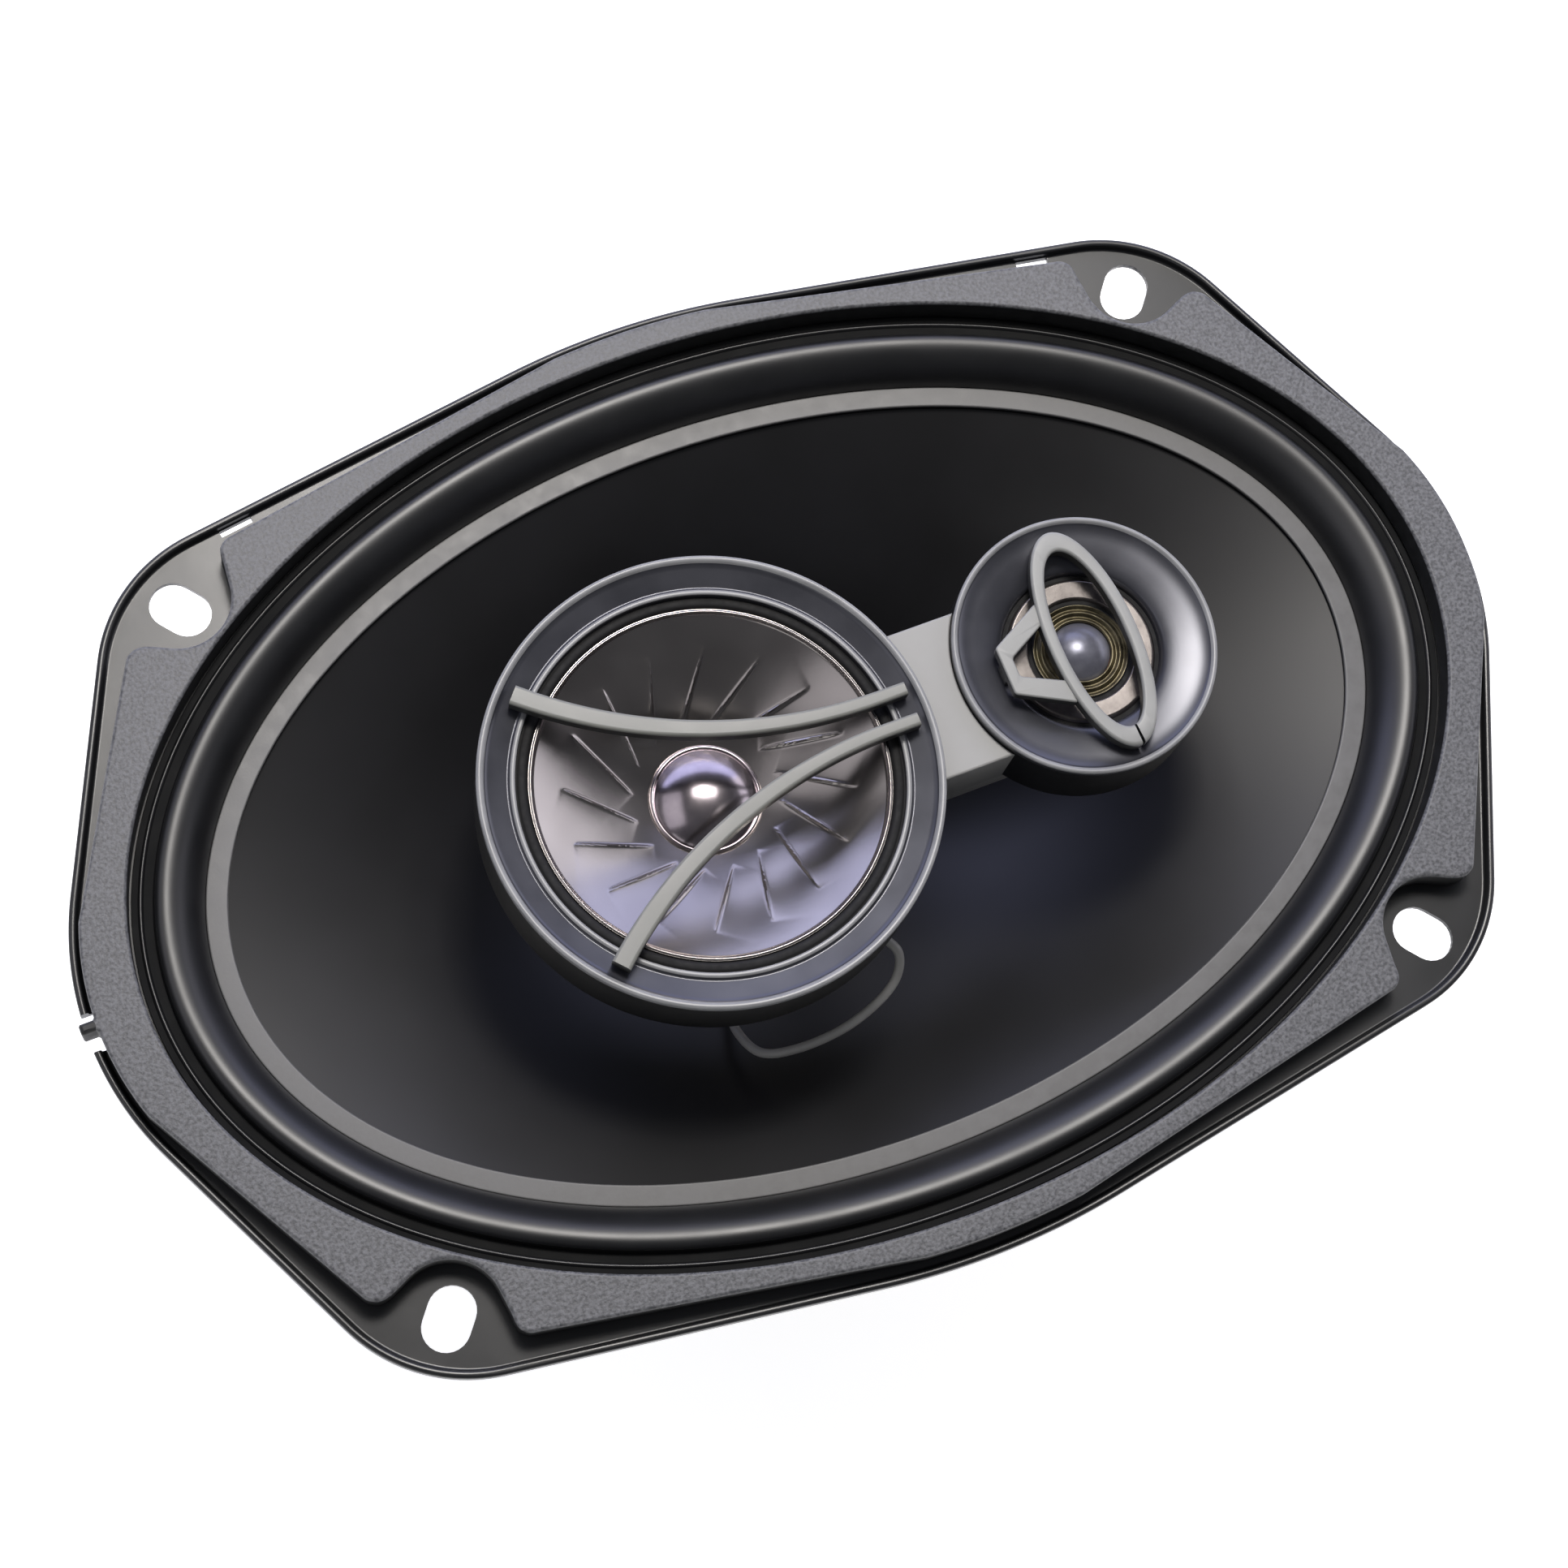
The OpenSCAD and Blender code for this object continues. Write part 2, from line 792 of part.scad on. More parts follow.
module midrange_yoke() {
  gap_out = midrange_coil_r + 0.7 + yoke_gap;
  floor_top = midrange_yoke_floor;
  rim = seat_z + midrange_floor_t - yoke_drop;
  color("#8d8f92")
    at_midrange()
      turned([
        [0, floor_top - midrange_yoke_t], [midrange_yoke_r, floor_top - midrange_yoke_t],
        [midrange_yoke_r, rim],
        [gap_out, rim], [gap_out, floor_top], [0, floor_top]
      ]);
}

module midrange_magnet() {
  color("#c9cacc")
    at_midrange()
      disc(midrange_magnet_r, midrange_yoke_floor, midrange_magnet_h);
}

module midrange_pole_plate() {
  color("#9a9c9e")
    at_midrange()
      disc(
        midrange_coil_r - midrange_gap, midrange_yoke_floor + midrange_magnet_h,
        midrange_pole_plate_h
      );
}

module tweeter_housing() {
  in_r = tweeter_r - tweeter_wall_t;
  floor_top = seat_z + tweeter_floor_t;
  lip_z = tweeter_top - 1.3;
  color("#232427")
    at_tweeter()
      difference() {
        turned([
          [0, seat_z], [tweeter_r, seat_z], [tweeter_r, lip_z], [in_r, lip_z],
          [in_r, tweeter_seat_z], [throat_r - 1, tweeter_seat_z], [throat_r - 1, tweeter_seat_z - 2],
          [in_r - 1, tweeter_seat_z - 4], [in_r - 1, floor_top], [0, floor_top]
        ]);
        for (s = [-1, 1])
          translate([tweeter_screw_at * s, 0, 0])
            disc(small_screw_r, seat_z - 1, small_thread_h);
      }
}

module tweeter_horn() {
  in_r = tweeter_r - tweeter_wall_t - joint_gap;
  top = tweeter_top;
  color("#3c3d42")
    at_tweeter()
      turned([
        [tweeter_r, top - 1.3], [tweeter_r, top - 0.5], [tweeter_r - 0.4, top - 0.1],
        [tweeter_r - 0.8, top], [tweeter_r - 1.2, top - 0.2], [tweeter_r - 1.5, dish_z],
        [throat_r + 6, top - 1.1], [throat_r + 3, top - 1.9], [throat_r + 1, top - 2.8],
        [throat_r, throat_z], [throat_r, tweeter_seat_z + 0.4], [in_r, tweeter_seat_z + 0.4],
        [in_r, top - 1.3]
      ]);
}

module tweeter_guard_ring() {
  foot_h = 0.6;
  split_w = 0.4;
  color("#8b8c88")
    at_tweeter()
      translate([guard_ring_shift, 0, 0])
        difference() {
          union() {
            translate([0, 0, guard_z])
              linear_extrude(guard_h)
                difference() {
                  polygon(ellipse_points(guard_ring_a, guard_ring_b));
                  polygon(ellipse_points(guard_ring_a - guard_side_w, guard_ring_b - guard_end_w));
                }
            for (s = [-1, 1])
              translate([-1.2, s * (guard_ring_b - guard_end_w / 2) - 1, guard_z - foot_h])
                cube([2.4, 2, foot_h + 1]);
          }
          translate([0.6, -guard_ring_b, guard_z + 0.4])
            rotate(8)
              translate([0, -1, 0])
                cube([split_w, guard_end_w + 1, guard_h]);
        }
}

module tweeter_guard_bracket() {
  arm_w = 2.7;
  near_x = -14.1;
  far_x = -5.9;
  bar_w = 1.9;
  color("#8b8c88")
    at_tweeter() {
      translate([0, 0, guard_z])
        linear_extrude(guard_h - 0.5)
          difference() {
            union() {
              translate([near_x, -4.1])
                square([bar_w, 7.9]);
              polygon([
                [near_x, 3.8], [far_x, 8.2], [far_x, 8.2 - 1.5 * arm_w],
                [near_x + bar_w, 3.8 - 1.1 * arm_w]
              ]);
              polygon([
                [near_x, -4.1], [far_x, -8.5], [far_x, -8.5 + 1.5 * arm_w],
                [near_x + bar_w, -4.1 + 1.1 * arm_w]
              ]);
            }
            translate([guard_ring_shift, 0])
              polygon(ellipse_points(guard_ring_a + fit, guard_ring_b + fit));
          }
      translate([near_x, -1.5, tweeter_top - 2.3])
        cube([bar_w, 3, guard_z - tweeter_top + 2.4]);
    }
}

module tweeter_yoke() {
  gap_out = tweeter_coil_r + 0.6 + yoke_gap;
  base = seat_z + tweeter_floor_t;
  color("#8d8f92")
    at_tweeter()
      turned([
        [0, base], [tweeter_yoke_r, base], [tweeter_yoke_r, base + tweeter_yoke_h],
        [gap_out, base + tweeter_yoke_h], [gap_out, base + tweeter_yoke_t], [0, base + tweeter_yoke_t]
      ]);
}

module tweeter_magnet() {
  color("#c9cacc")
    at_tweeter()
      disc(tweeter_magnet_r, seat_z + tweeter_floor_t + tweeter_yoke_t, tweeter_magnet_h);
}

module tweeter_pole_plate() {
  color("#9a9c9e")
    at_tweeter()
      disc(
        tweeter_coil_r - tweeter_gap, seat_z + tweeter_floor_t + tweeter_yoke_t + tweeter_magnet_h, 2
      );
}

module capacitor(side) {
  crimp_at = 2.4;
  color("#2a2b30")
    translate([capacitor_x, side * (capacitor_r + 0.6), plate_under_z - capacitor_r])
      rotate([0, 90, 0])
        rotate_extrude($fn = small_fn)
          polygon([
            [0, 0], [capacitor_r - 0.4, 0], [capacitor_r, 0.4], [capacitor_r, crimp_at],
            [capacitor_r - 0.35, crimp_at + 0.4], [capacitor_r, crimp_at + 0.8],
            [capacitor_r, capacitor_l - 0.4], [capacitor_r - 0.4, capacitor_l], [0, capacitor_l]
          ]);
}

module midrange_capacitor() {
  capacitor(-1);
}

module tweeter_capacitor() {
  capacitor(1);
}

module at_terminals(side) {
  translate([side * terminal_x, tab_plate_y, 0])
    children();
}

module terminal_bore() {
  translate([0, basket_t + 1, terminal_rivet_z])
    rotate([90, 0, 0])
      cylinder(r = terminal_rivet_r, h = basket_t + board_t + tab_t + 2, $fn = small_fn);
}

module terminal_board() {
  color("#7a5a33")
    difference() {
      translate([-board_w / 2, tab_plate_y - board_t, board_z])
        cube([board_w, board_t, board_h]);
      at_terminals(1)
        terminal_bore();
      at_terminals(-1)
        terminal_bore();
    }
}

module terminal(side, width) {
  tail_z = board_z + 4 - terminal_tail_h;
  color("#c2b27a")
    difference() {
      at_terminals(side)
        translate([-width / 2, -board_t - tab_t, tail_z])
          cube([width, tab_t, ledge_z - 3 - tail_z]);
      at_terminals(side)
        terminal_bore();
      at_terminals(side)
        translate([0, 0, tail_z + 4])
          rotate([90, 0, 0])
            cylinder(r = 0.9, h = 6, $fn = small_fn);
    }
}

module terminal_positive() {
  terminal(-1, wide_tab_w);
}

module terminal_negative() {
  terminal(1, narrow_tab_w);
}

module terminal_rivets() {
  head_h = 0.7;
  grip = basket_t + board_t + tab_t;
  color("#b9bbbd")
    for (s = [-1, 1])
      at_terminals(s)
        translate([0, basket_t, terminal_rivet_z])
          rotate([90, 0, 0]) {
            cylinder(r = terminal_rivet_r, h = grip, $fn = small_fn);
            translate([0, 0, -head_h])
              cylinder(r = terminal_rivet_r + 0.9, h = head_h, $fn = small_fn);
            translate([0, 0, grip])
              cylinder(r = terminal_rivet_r + 0.6, h = head_h, $fn = small_fn);
          }
}

module cone() {
  steps = 8;
  rim = [open_a - roll_in_d, open_b - roll_in_d];
  front = [
    for (i = [0:steps]) let (h = cone_half_axes(i / steps)) [h[0], h[1], cone_z(i / steps)]
  ];
  back = [
    for (i = [steps:-1:0])
      let (h = cone_half_axes(i / steps))
        [h[0] + (i == steps ? 0.7 : 0.3), h[1] + (i == steps ? 0.7 : 0.3), cone_z(i / steps) - cone_t]
  ];
  color("#1c1c1e")
    ring_solid(concat(
      [[rim[0], rim[1], -cone_rim_depth]], front, back,
      [[rim[0], rim[1], -cone_rim_depth - cone_t]]
    ));
}

module cone_trim_ring() {
  color("#8c8c8c")
    translate([0, 0, -cone_rim_depth + 0.6])
      linear_extrude(0.6)
        difference() {
          polygon(opening_ring(roll_in_d));
          polygon(opening_ring(trim_in_d));
        }
}

module surround() {
  steps = 8;
  low = -cone_rim_depth;
  band_t = 0.6;
  high = flange_t + surround_t;
  span = low + band_t - high;
  front = [
    for (i = [0:steps])
      let (u = 180 * i / steps, share = (1 - cos(u)) / 2)
        [surround_flat_w + roll_w * share, high + span * share + roll_h * sin(u)]
  ];
  back = [
    for (i = [steps:-1:0])
      let (u = 180 * i / steps, share = (1 - cos(u)) / 2)
        [
          surround_flat_w + surround_t + (roll_w - 2 * surround_t) * share,
          flange_t + (low - flange_t) * share + (roll_h - 0.1) * sin(u)
        ]
  ];
  profile = concat(
    [[joint_gap, high]], front, [[roll_in_d + 2.6, low + band_t], [roll_in_d + 2.6, low]],
    back, [[joint_gap, flange_t]]
  );
  color("#141416")
    ring_solid([for (p = profile) [open_a - p[0], open_b - p[0], p[1]]]);
}

module spider() {
  waves = 7;
  in_r = former_or + fit + 3;
  out_r = cup_r - basket_t;
  pitch = (out_r - in_r) / waves;
  wave = [
    for (i = [0:2 * waves]) [in_r + i * pitch / 2, ledge_z + (i % 2 == 0 ? 0 : 1.8)]
  ];
  last = len(wave) - 1;
  color("#b58a3c")
    turned(concat(
      [[former_or + fit, ledge_z + 2.5], [former_or + fit, ledge_z]],
      [for (i = [0:last]) wave[i]],
      [[spider_or, ledge_z], [spider_or, ledge_z + spider_t]],
      [for (i = [last:-1:0]) wave[i] + [0, spider_t]],
      [[former_or + fit + 0.5, ledge_z + spider_t], [former_or + fit + 0.5, ledge_z + 2.5]]
    ));
}

module voice_coil_former() {
  color("#c7a35a")
    tube(former_or, former_r, winding_z, former_top_z - winding_z);
}

module voice_coil() {
  color("#b3652e")
    tube(winding_r, former_or, winding_z, winding_h);
}

module lead_eyelets() {
  color("#c9b37a")
    translate(eyelet_at)
      rotate(eyelet_lean)
        cylinder(r = eyelet_r, h = eyelet_h, center = true, $fn = small_fn);
}

module tinsel_leads() {
  color("#b08a5a")
    for (s = [0, 1])
      mirror([s, 0, 0])
        lead(tinsel_route, tinsel_r, 3);
}

module midrange_lead() {
  color("#a9a9a6")
    lead(midrange_lead_route, lead_r, 3);
}

module midrange_cone() {
  t = 0.35;
  mid_r = (midrange_cone_r + dust_cap_r) / 2;
  mid_z = (midrange_edge_z + cap_base_z) / 2 - 0.7;
  color("#b9b9bb")
    at_midrange()
      turned([
        [midrange_cone_r, midrange_edge_z], [mid_r, mid_z], [dust_cap_r, cap_base_z],
        [midrange_coil_r + 0.2, cap_base_z], [midrange_coil_r + 0.2, cap_base_z - t],
        [dust_cap_r, cap_base_z - t], [mid_r, mid_z - t], [midrange_cone_r, midrange_edge_z - t]
      ]);
}

module midrange_dust_cap() {
  t = 0.3;
  rise = 3.2;
  steps = 10;
  ball_r = (dust_cap_r * dust_cap_r + rise * rise) / (2 * rise);
  half = asin(dust_cap_r / ball_r);
  color("#a9a6b0")
    at_midrange()
      turned(concat(
        [
          for (i = [0:steps])
            [ball_r * sin(half * i / steps), cap_base_z + rise - ball_r + ball_r * cos(half * i / steps)]
        ],
        [[dust_cap_r - t, cap_base_z]],
        [
          for (i = [steps - 1:-1:0])
            [
              (ball_r - t) * sin(half * i / steps),
              cap_base_z + rise - ball_r + (ball_r - t) * cos(half * i / steps)
            ]
        ]
      ));
}

module midrange_surround() {
  t = 0.3;
  top_z = midrange_seat_z + surround_t;
  color("#101012")
    at_midrange()
      turned([
        [midrange_cone_r, midrange_edge_z - 0.35], [midrange_cone_r + 0.5, midrange_edge_z + 0.4],
        [bezel_in_r - 0.5, midrange_edge_z + 0.4], [bezel_in_r - 0.1, top_z],
        [bezel_skirt_r, top_z], [bezel_skirt_r, midrange_seat_z],
        [bezel_in_r - 0.4, midrange_seat_z], [bezel_in_r - 0.7, midrange_edge_z + 0.4 - t],
        [midrange_cone_r + 0.7, midrange_edge_z + 0.4 - t],
        [midrange_cone_r + 0.3, midrange_edge_z - 0.35 - t],
        [midrange_cone_r - 1, midrange_edge_z - 1.05 - t], [midrange_cone_r - 1, midrange_edge_z - 1.05]
      ]);
}

module midrange_voice_coil() {
  color("#b3652e")
    at_midrange() {
      tube(midrange_coil_r + 0.2, midrange_coil_r, plate_under_z - 4, cap_base_z - plate_under_z + 4);
      tube(midrange_coil_r + 0.7, midrange_coil_r + 0.2, plate_under_z - 2.5, 5);
    }
}

module tweeter_dome() {
  t = 0.25;
  rise = 2.1;
  steps = 8;
  base_z = tweeter_seat_z;
  ball_r = (dome_r * dome_r + rise * rise) / (2 * rise);
  half = asin(dome_r / ball_r);
  color("#6b6d8c")
    at_tweeter()
      turned(concat(
        [
          for (i = [0:steps])
            [ball_r * sin(half * i / steps), base_z + rise - ball_r + ball_r * cos(half * i / steps)]
        ],
        [[dome_r - t, base_z]],
        [
          for (i = [steps - 1:-1:0])
            [
              (ball_r - t) * sin(half * i / steps),
              base_z + rise - ball_r + (ball_r - t) * cos(half * i / steps)
            ]
        ]
      ));
}

module tweeter_surround() {
  t = 0.4;
  z = tweeter_seat_z;
  color("#c9c9c4")
    at_tweeter()
      turned([
        [dome_r, z], [dome_r + 1.2, z + 0.5], [dome_r + 2.4, z], [dome_r + 4, z + 0.6],
        [throat_r - 1, z], [throat_r + 1.5, z], [throat_r + 1.5, z + t], [throat_r - 1, z + t],
        [dome_r + 4, z + 0.6 + t], [dome_r + 2.4, z + t], [dome_r + 1.2, z + 0.5 + t], [dome_r, z + t]
      ]);
}

module tweeter_voice_coil() {
  base = seat_z + tweeter_floor_t;
  color("#b3652e")
    at_tweeter() {
      tube(tweeter_coil_r + 0.15, tweeter_coil_r, base + 2.8, tweeter_seat_z - base - 2.8);
      tube(tweeter_coil_r + 0.5, tweeter_coil_r + 0.15, base + 3.6, 2.8);
    }
}

basket();
gasket_ring();
top_plate();
magnet();
pole_yoke();
plate_rivets();
terminal_board();
terminal_positive();
terminal_negative();
terminal_rivets();
centre_post();
post_washer();
post_nut();
post_screw();
bridge();
bridge_screws();
midrange_housing();
midrange_bezel();
midrange_guard_bars();
midrange_yoke();
midrange_magnet();
midrange_pole_plate();
tweeter_housing();
tweeter_horn();
tweeter_guard_ring();
tweeter_guard_bracket();
tweeter_yoke();
tweeter_magnet();
tweeter_pole_plate();
midrange_capacitor();
tweeter_capacitor();
cone();
cone_trim_ring();
surround();
spider();
voice_coil_former();
voice_coil();
lead_eyelets();
tinsel_leads();
midrange_lead();
midrange_cone();
midrange_dust_cap();
midrange_surround();
midrange_voice_coil();
tweeter_dome();
tweeter_surround();
tweeter_voice_coil();
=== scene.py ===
import math

import bmesh
import bpy
import numpy as np
from mathutils import Matrix, Vector


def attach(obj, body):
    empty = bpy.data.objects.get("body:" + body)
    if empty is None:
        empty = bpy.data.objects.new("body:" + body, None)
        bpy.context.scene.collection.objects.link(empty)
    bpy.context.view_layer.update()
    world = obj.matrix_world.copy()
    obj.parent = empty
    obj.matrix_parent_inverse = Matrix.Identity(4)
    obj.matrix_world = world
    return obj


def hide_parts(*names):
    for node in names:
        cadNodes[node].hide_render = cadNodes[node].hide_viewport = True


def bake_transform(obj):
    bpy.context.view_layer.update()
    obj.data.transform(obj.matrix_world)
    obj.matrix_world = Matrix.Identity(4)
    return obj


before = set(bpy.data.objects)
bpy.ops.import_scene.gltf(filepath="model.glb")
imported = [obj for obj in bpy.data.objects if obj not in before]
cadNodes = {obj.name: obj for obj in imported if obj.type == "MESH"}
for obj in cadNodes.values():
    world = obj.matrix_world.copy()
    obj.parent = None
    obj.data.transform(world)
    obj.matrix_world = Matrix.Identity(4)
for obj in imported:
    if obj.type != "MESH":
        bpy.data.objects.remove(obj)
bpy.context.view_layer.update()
print("frame loaded:", len(cadNodes), "nodes")

mm = 0.001
tau = 2 * math.pi


# small tools for colours, nodes and meshes

def fromHex(text):
    # sRGB hex to the linear numbers that shaders take
    parts = [int(text[i:i + 2], 16) / 255 for i in (1, 3, 5)]
    return tuple(p / 12.92 if p <= 0.04045 else ((p + 0.055) / 1.055) ** 2.4 for p in parts) + (1.0,)


def addNode(tree, kind, settings=None, links=None):
    # one shader node: settings by socket or attribute name, links as socket -> source socket
    node = tree.nodes.new(kind)
    for key, value in (settings or {}).items():
        if key == "stops":
            ramp = node.color_ramp
            while len(ramp.elements) < len(value):
                ramp.elements.new(0.5)
            for element, (place, colour) in zip(ramp.elements, value):
                element.position = place
                element.color = colour
        elif isinstance(key, int) or key in node.inputs:
            node.inputs[key].default_value = value
        else:
            setattr(node, key, value)
    for key, source in (links or {}).items():
        tree.links.new(source, node.inputs[key])
    return node


def newMaterial(name):
    material = bpy.data.materials.new(name)
    material.use_nodes = True
    tree = material.node_tree
    tree.nodes.clear()
    return material, tree


def perMetre(sizeMm):
    # how many repeats a metre a pattern of this size in millimetres has
    return 1000 / sizeMm


def fanRings(curve, profile):
    # one ring of points for each (inset or radius, height) of the profile, in millimetres
    return [np.column_stack([curve(p[0]), np.full(len(curve(p[0])), p[1])]) for p in profile]


def roundRings(rings, fillets, closed, steps=4):
    # replaces each ring that has a fillet by a soft bend between its neighbours
    count = len(rings)
    made = []
    for i, ring in enumerate(rings):
        size = fillets[i]
        if not size or (not closed and i in (0, count - 1)):
            made.append(ring)
            continue
        before = rings[i - 1] - ring
        after = rings[(i + 1) % count] - ring
        lengthBefore = np.linalg.norm(before, axis=1, keepdims=True) + 1e-9
        lengthAfter = np.linalg.norm(after, axis=1, keepdims=True) + 1e-9
        first = ring + before / lengthBefore * np.minimum(size, 0.49 * lengthBefore)
        last = ring + after / lengthAfter * np.minimum(size, 0.49 * lengthAfter)
        for k in range(steps + 1):
            u = k / steps
            made.append((1 - u) ** 2 * first + 2 * u * (1 - u) * ring + u * u * last)
    return made


def joinRings(rings, closed, wrap=True):
    # quads between neighbouring rings; wrap closes each ring, closed joins the last ring to the first
    count, around = len(rings), len(rings[0])
    points = np.concatenate(rings)
    faces = []
    for i in range(count if closed else count - 1):
        j = (i + 1) % count
        for k in range(around if wrap else around - 1):
            n = (k + 1) % around
            faces.append((i * around + k, i * around + n, j * around + n, j * around + k))
    if closed and not wrap:
        faces.append(tuple(i * around for i in range(count)))
        faces.append(tuple(i * around + around - 1 for i in reversed(range(count))))
    return points, faces


def mergeMeshes(*parts):
    points, faces, start = [], [], 0
    for p, f in parts:
        points.append(np.asarray(p, float))
        faces += [tuple(start + i for i in face) for face in f]
        start += len(p)
    return np.concatenate(points), faces


def addPiece(name, shape, material, sharp=38, weighted=True):
    # shape is (points in millimetres, faces)
    points, faces = shape
    mesh = bpy.data.meshes.new(name)
    mesh.from_pydata((np.asarray(points, float) * mm).tolist(), [], faces)
    bm = bmesh.new()
    bm.from_mesh(mesh)
    bmesh.ops.remove_doubles(bm, verts=bm.verts, dist=2e-6)
    bmesh.ops.dissolve_degenerate(bm, edges=bm.edges, dist=1e-6)
    bmesh.ops.recalc_face_normals(bm, faces=bm.faces)
    bm.to_mesh(mesh)
    bm.free()
    piece = bpy.data.objects.new(name, mesh)
    bpy.context.scene.collection.objects.link(piece)
    mesh.materials.append(material)
    smoothFaces(piece, sharp)
    if weighted:
        modifier = piece.modifiers.new("weighted", "WEIGHTED_NORMAL")
        modifier.keep_sharp = True
    return piece


def smoothFaces(piece, sharp):
    mesh = piece.data
    mesh.polygons.foreach_set("use_smooth", [True] * len(mesh.polygons))
    mesh.set_sharp_from_angle(angle=math.radians(sharp))


def applyModifiers(piece):
    graph = bpy.context.evaluated_depsgraph_get()
    baked = bpy.data.meshes.new_from_object(piece.evaluated_get(graph))
    piece.modifiers.clear()
    old = piece.data
    piece.data = baked
    bpy.data.meshes.remove(old)
    return piece


def placePiece(piece, body, nodes):
    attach(piece, body)
    if nodes:
        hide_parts(*nodes)
    return piece


def twoToned(piece, second, chosen):
    # gives the faces whose centre is chosen one more material
    piece.data.materials.append(second)
    last = len(piece.data.materials) - 1
    for polygon in piece.data.polygons:
        if chosen(polygon.center / mm):
            polygon.material_index = last
    return piece


def standIn(name, shape, material, body, sharp=38, weighted=True):
    # a piece that stands for the CAD node of its own name
    return placePiece(addPiece(name, shape, material, sharp, weighted), body, [name])


def circleCurve(cx, cy, count=192):
    angles = np.arange(count) * tau / count
    return lambda r: np.column_stack([cx + r * np.cos(angles), cy + r * np.sin(angles)])


def turnedShape(cx, cy, profile, count=192, closed=True):
    # profile entries are (radius, height) or (radius, height, fillet)
    rings = fanRings(circleCurve(cx, cy, count), profile)
    fillets = [p[2] if len(p) > 2 else 0 for p in profile]
    return joinRings(roundRings(rings, fillets, closed), closed)


def plateShape(contours, low, high, edge=0.2, steps=3):
    # flat plate with rounded edges; the first contour is outside, the others are holes
    curve = bpy.data.curves.new("plate", "CURVE")
    curve.dimensions = "2D"
    curve.fill_mode = "BOTH"
    curve.extrude = ((high - low) / 2 - edge) * mm
    curve.bevel_depth = edge * mm
    curve.bevel_resolution = steps
    curve.offset = -edge * mm
    for contour in contours:
        spline = curve.splines.new("POLY")
        spline.points.add(len(contour) - 1)
        spline.points.foreach_set("co", [c for x, y in contour for c in (x * mm, y * mm, 0, 1)])
        spline.use_cyclic_u = True
    holder = bpy.data.objects.new("plate", curve)
    bpy.context.scene.collection.objects.link(holder)
    graph = bpy.context.evaluated_depsgraph_get()
    mesh = bpy.data.meshes.new_from_object(holder.evaluated_get(graph))
    points = np.array([v.co for v in mesh.vertices]) / mm + [0, 0, (low + high) / 2]
    faces = [tuple(p.vertices) for p in mesh.polygons]
    bpy.data.objects.remove(holder)
    bpy.data.curves.remove(curve)
    bpy.data.meshes.remove(mesh)
    return points, faces


def arcPoints(cx, cy, r, fromDeg, toDeg, steps):
    angles = np.radians(np.linspace(fromDeg, toDeg, steps))
    return [(cx + r * math.cos(a), cy + r * math.sin(a)) for a in angles]


def softCorners(contour, radius, steps=5):
    # rounds every corner of a closed polygon
    ring = np.array(contour, float)
    made = []
    for i in range(len(ring)):
        here, before, after = ring[i], ring[i - 1], ring[(i + 1) % len(ring)]
        a, b = before - here, after - here
        la, lb = np.linalg.norm(a), np.linalg.norm(b)
        start, end = here + a / la * min(radius, 0.45 * la), here + b / lb * min(radius, 0.45 * lb)
        for k in range(steps + 1):
            u = k / steps
            made.append(tuple((1 - u) ** 2 * start + 2 * u * (1 - u) * here + u * u * end))
    return made


def moveShape(shape, turn=None, shift=(0, 0, 0)):
    points, faces = shape
    if turn is not None:
        points = points @ np.array(turn.to_3x3()).T
    return points + np.array(shift, float), faces


def smoothRoute(route, steps):
    # Catmull-Rom curve through the route's points
    r = np.array(route, float)
    last = len(r) - 1
    made = []
    for i in range(last):
        a, b, c, d = r[max(i - 1, 0)], r[i], r[i + 1], r[min(i + 2, last)]
        for k in range(steps):
            t = k / steps
            made.append(0.5 * (2 * b + (c - a) * t + (2 * a - 5 * b + 4 * c - d) * t * t
                               + (3 * b - a - 3 * c + d) * t ** 3))
    made.append(r[last])
    return np.array(made)


def routeFrames(path):
    # side and up directions along a path, carried without twist
    along = np.gradient(path, axis=0)
    along /= np.linalg.norm(along, axis=1, keepdims=True)
    side = np.cross(along[0], [0.3, 0.2, 1.0])
    side /= np.linalg.norm(side)
    sides = []
    for t in along:
        side = side - t * (side @ t)
        side /= np.linalg.norm(side)
        sides.append(side.copy())
    sides = np.array(sides)
    return sides, np.cross(along, sides)


def tubeShape(path, radius, sides=16):
    # round tube with domed ends
    side, up = routeFrames(path)
    angles = np.arange(sides) * tau / sides
    rings = []
    along = np.cross(side, up)
    def ringAt(i, scale, shift):
        middle = path[i] + along[i] * shift
        return middle + radius * scale * (np.outer(np.cos(angles), side[i]) + np.outer(np.sin(angles), up[i]))
    sign = 1 if (path[1] - path[0]) @ along[0] > 0 else -1
    for k in (0.05, 0.5, 0.85):
        rings.append(ringAt(0, k, -sign * radius * 0.5 * math.sqrt(1 - k * k)))
    rings += [ringAt(i, 1, 0) for i in range(len(path))]
    for k in (0.85, 0.5, 0.05):
        rings.append(ringAt(-1, k, sign * radius * 0.5 * math.sqrt(1 - k * k)))
    points, faces = joinRings(rings, False)
    last = len(points)
    faces.append(tuple(range(sides)))
    faces.append(tuple(range(last - 1, last - 1 - sides, -1)))
    return points, faces


# camera, floor and light

camera = {"place": (-107.5, -105.2, 462.3), "turn": (16.359, -6.856, -22.436), "lens": 70.72}
cameraData = bpy.data.cameras.new("camera")
cameraData.lens = camera["lens"]
cameraData.sensor_width = 36
cameraData.sensor_fit = "HORIZONTAL"
cameraData.clip_start = 0.01
cameraObject = bpy.data.objects.new("camera", cameraData)
cameraObject.location = Vector(camera["place"]) * mm
cameraObject.rotation_euler = [math.radians(a) for a in camera["turn"]]
bpy.context.scene.collection.objects.link(cameraObject)
bpy.context.scene.camera = cameraObject

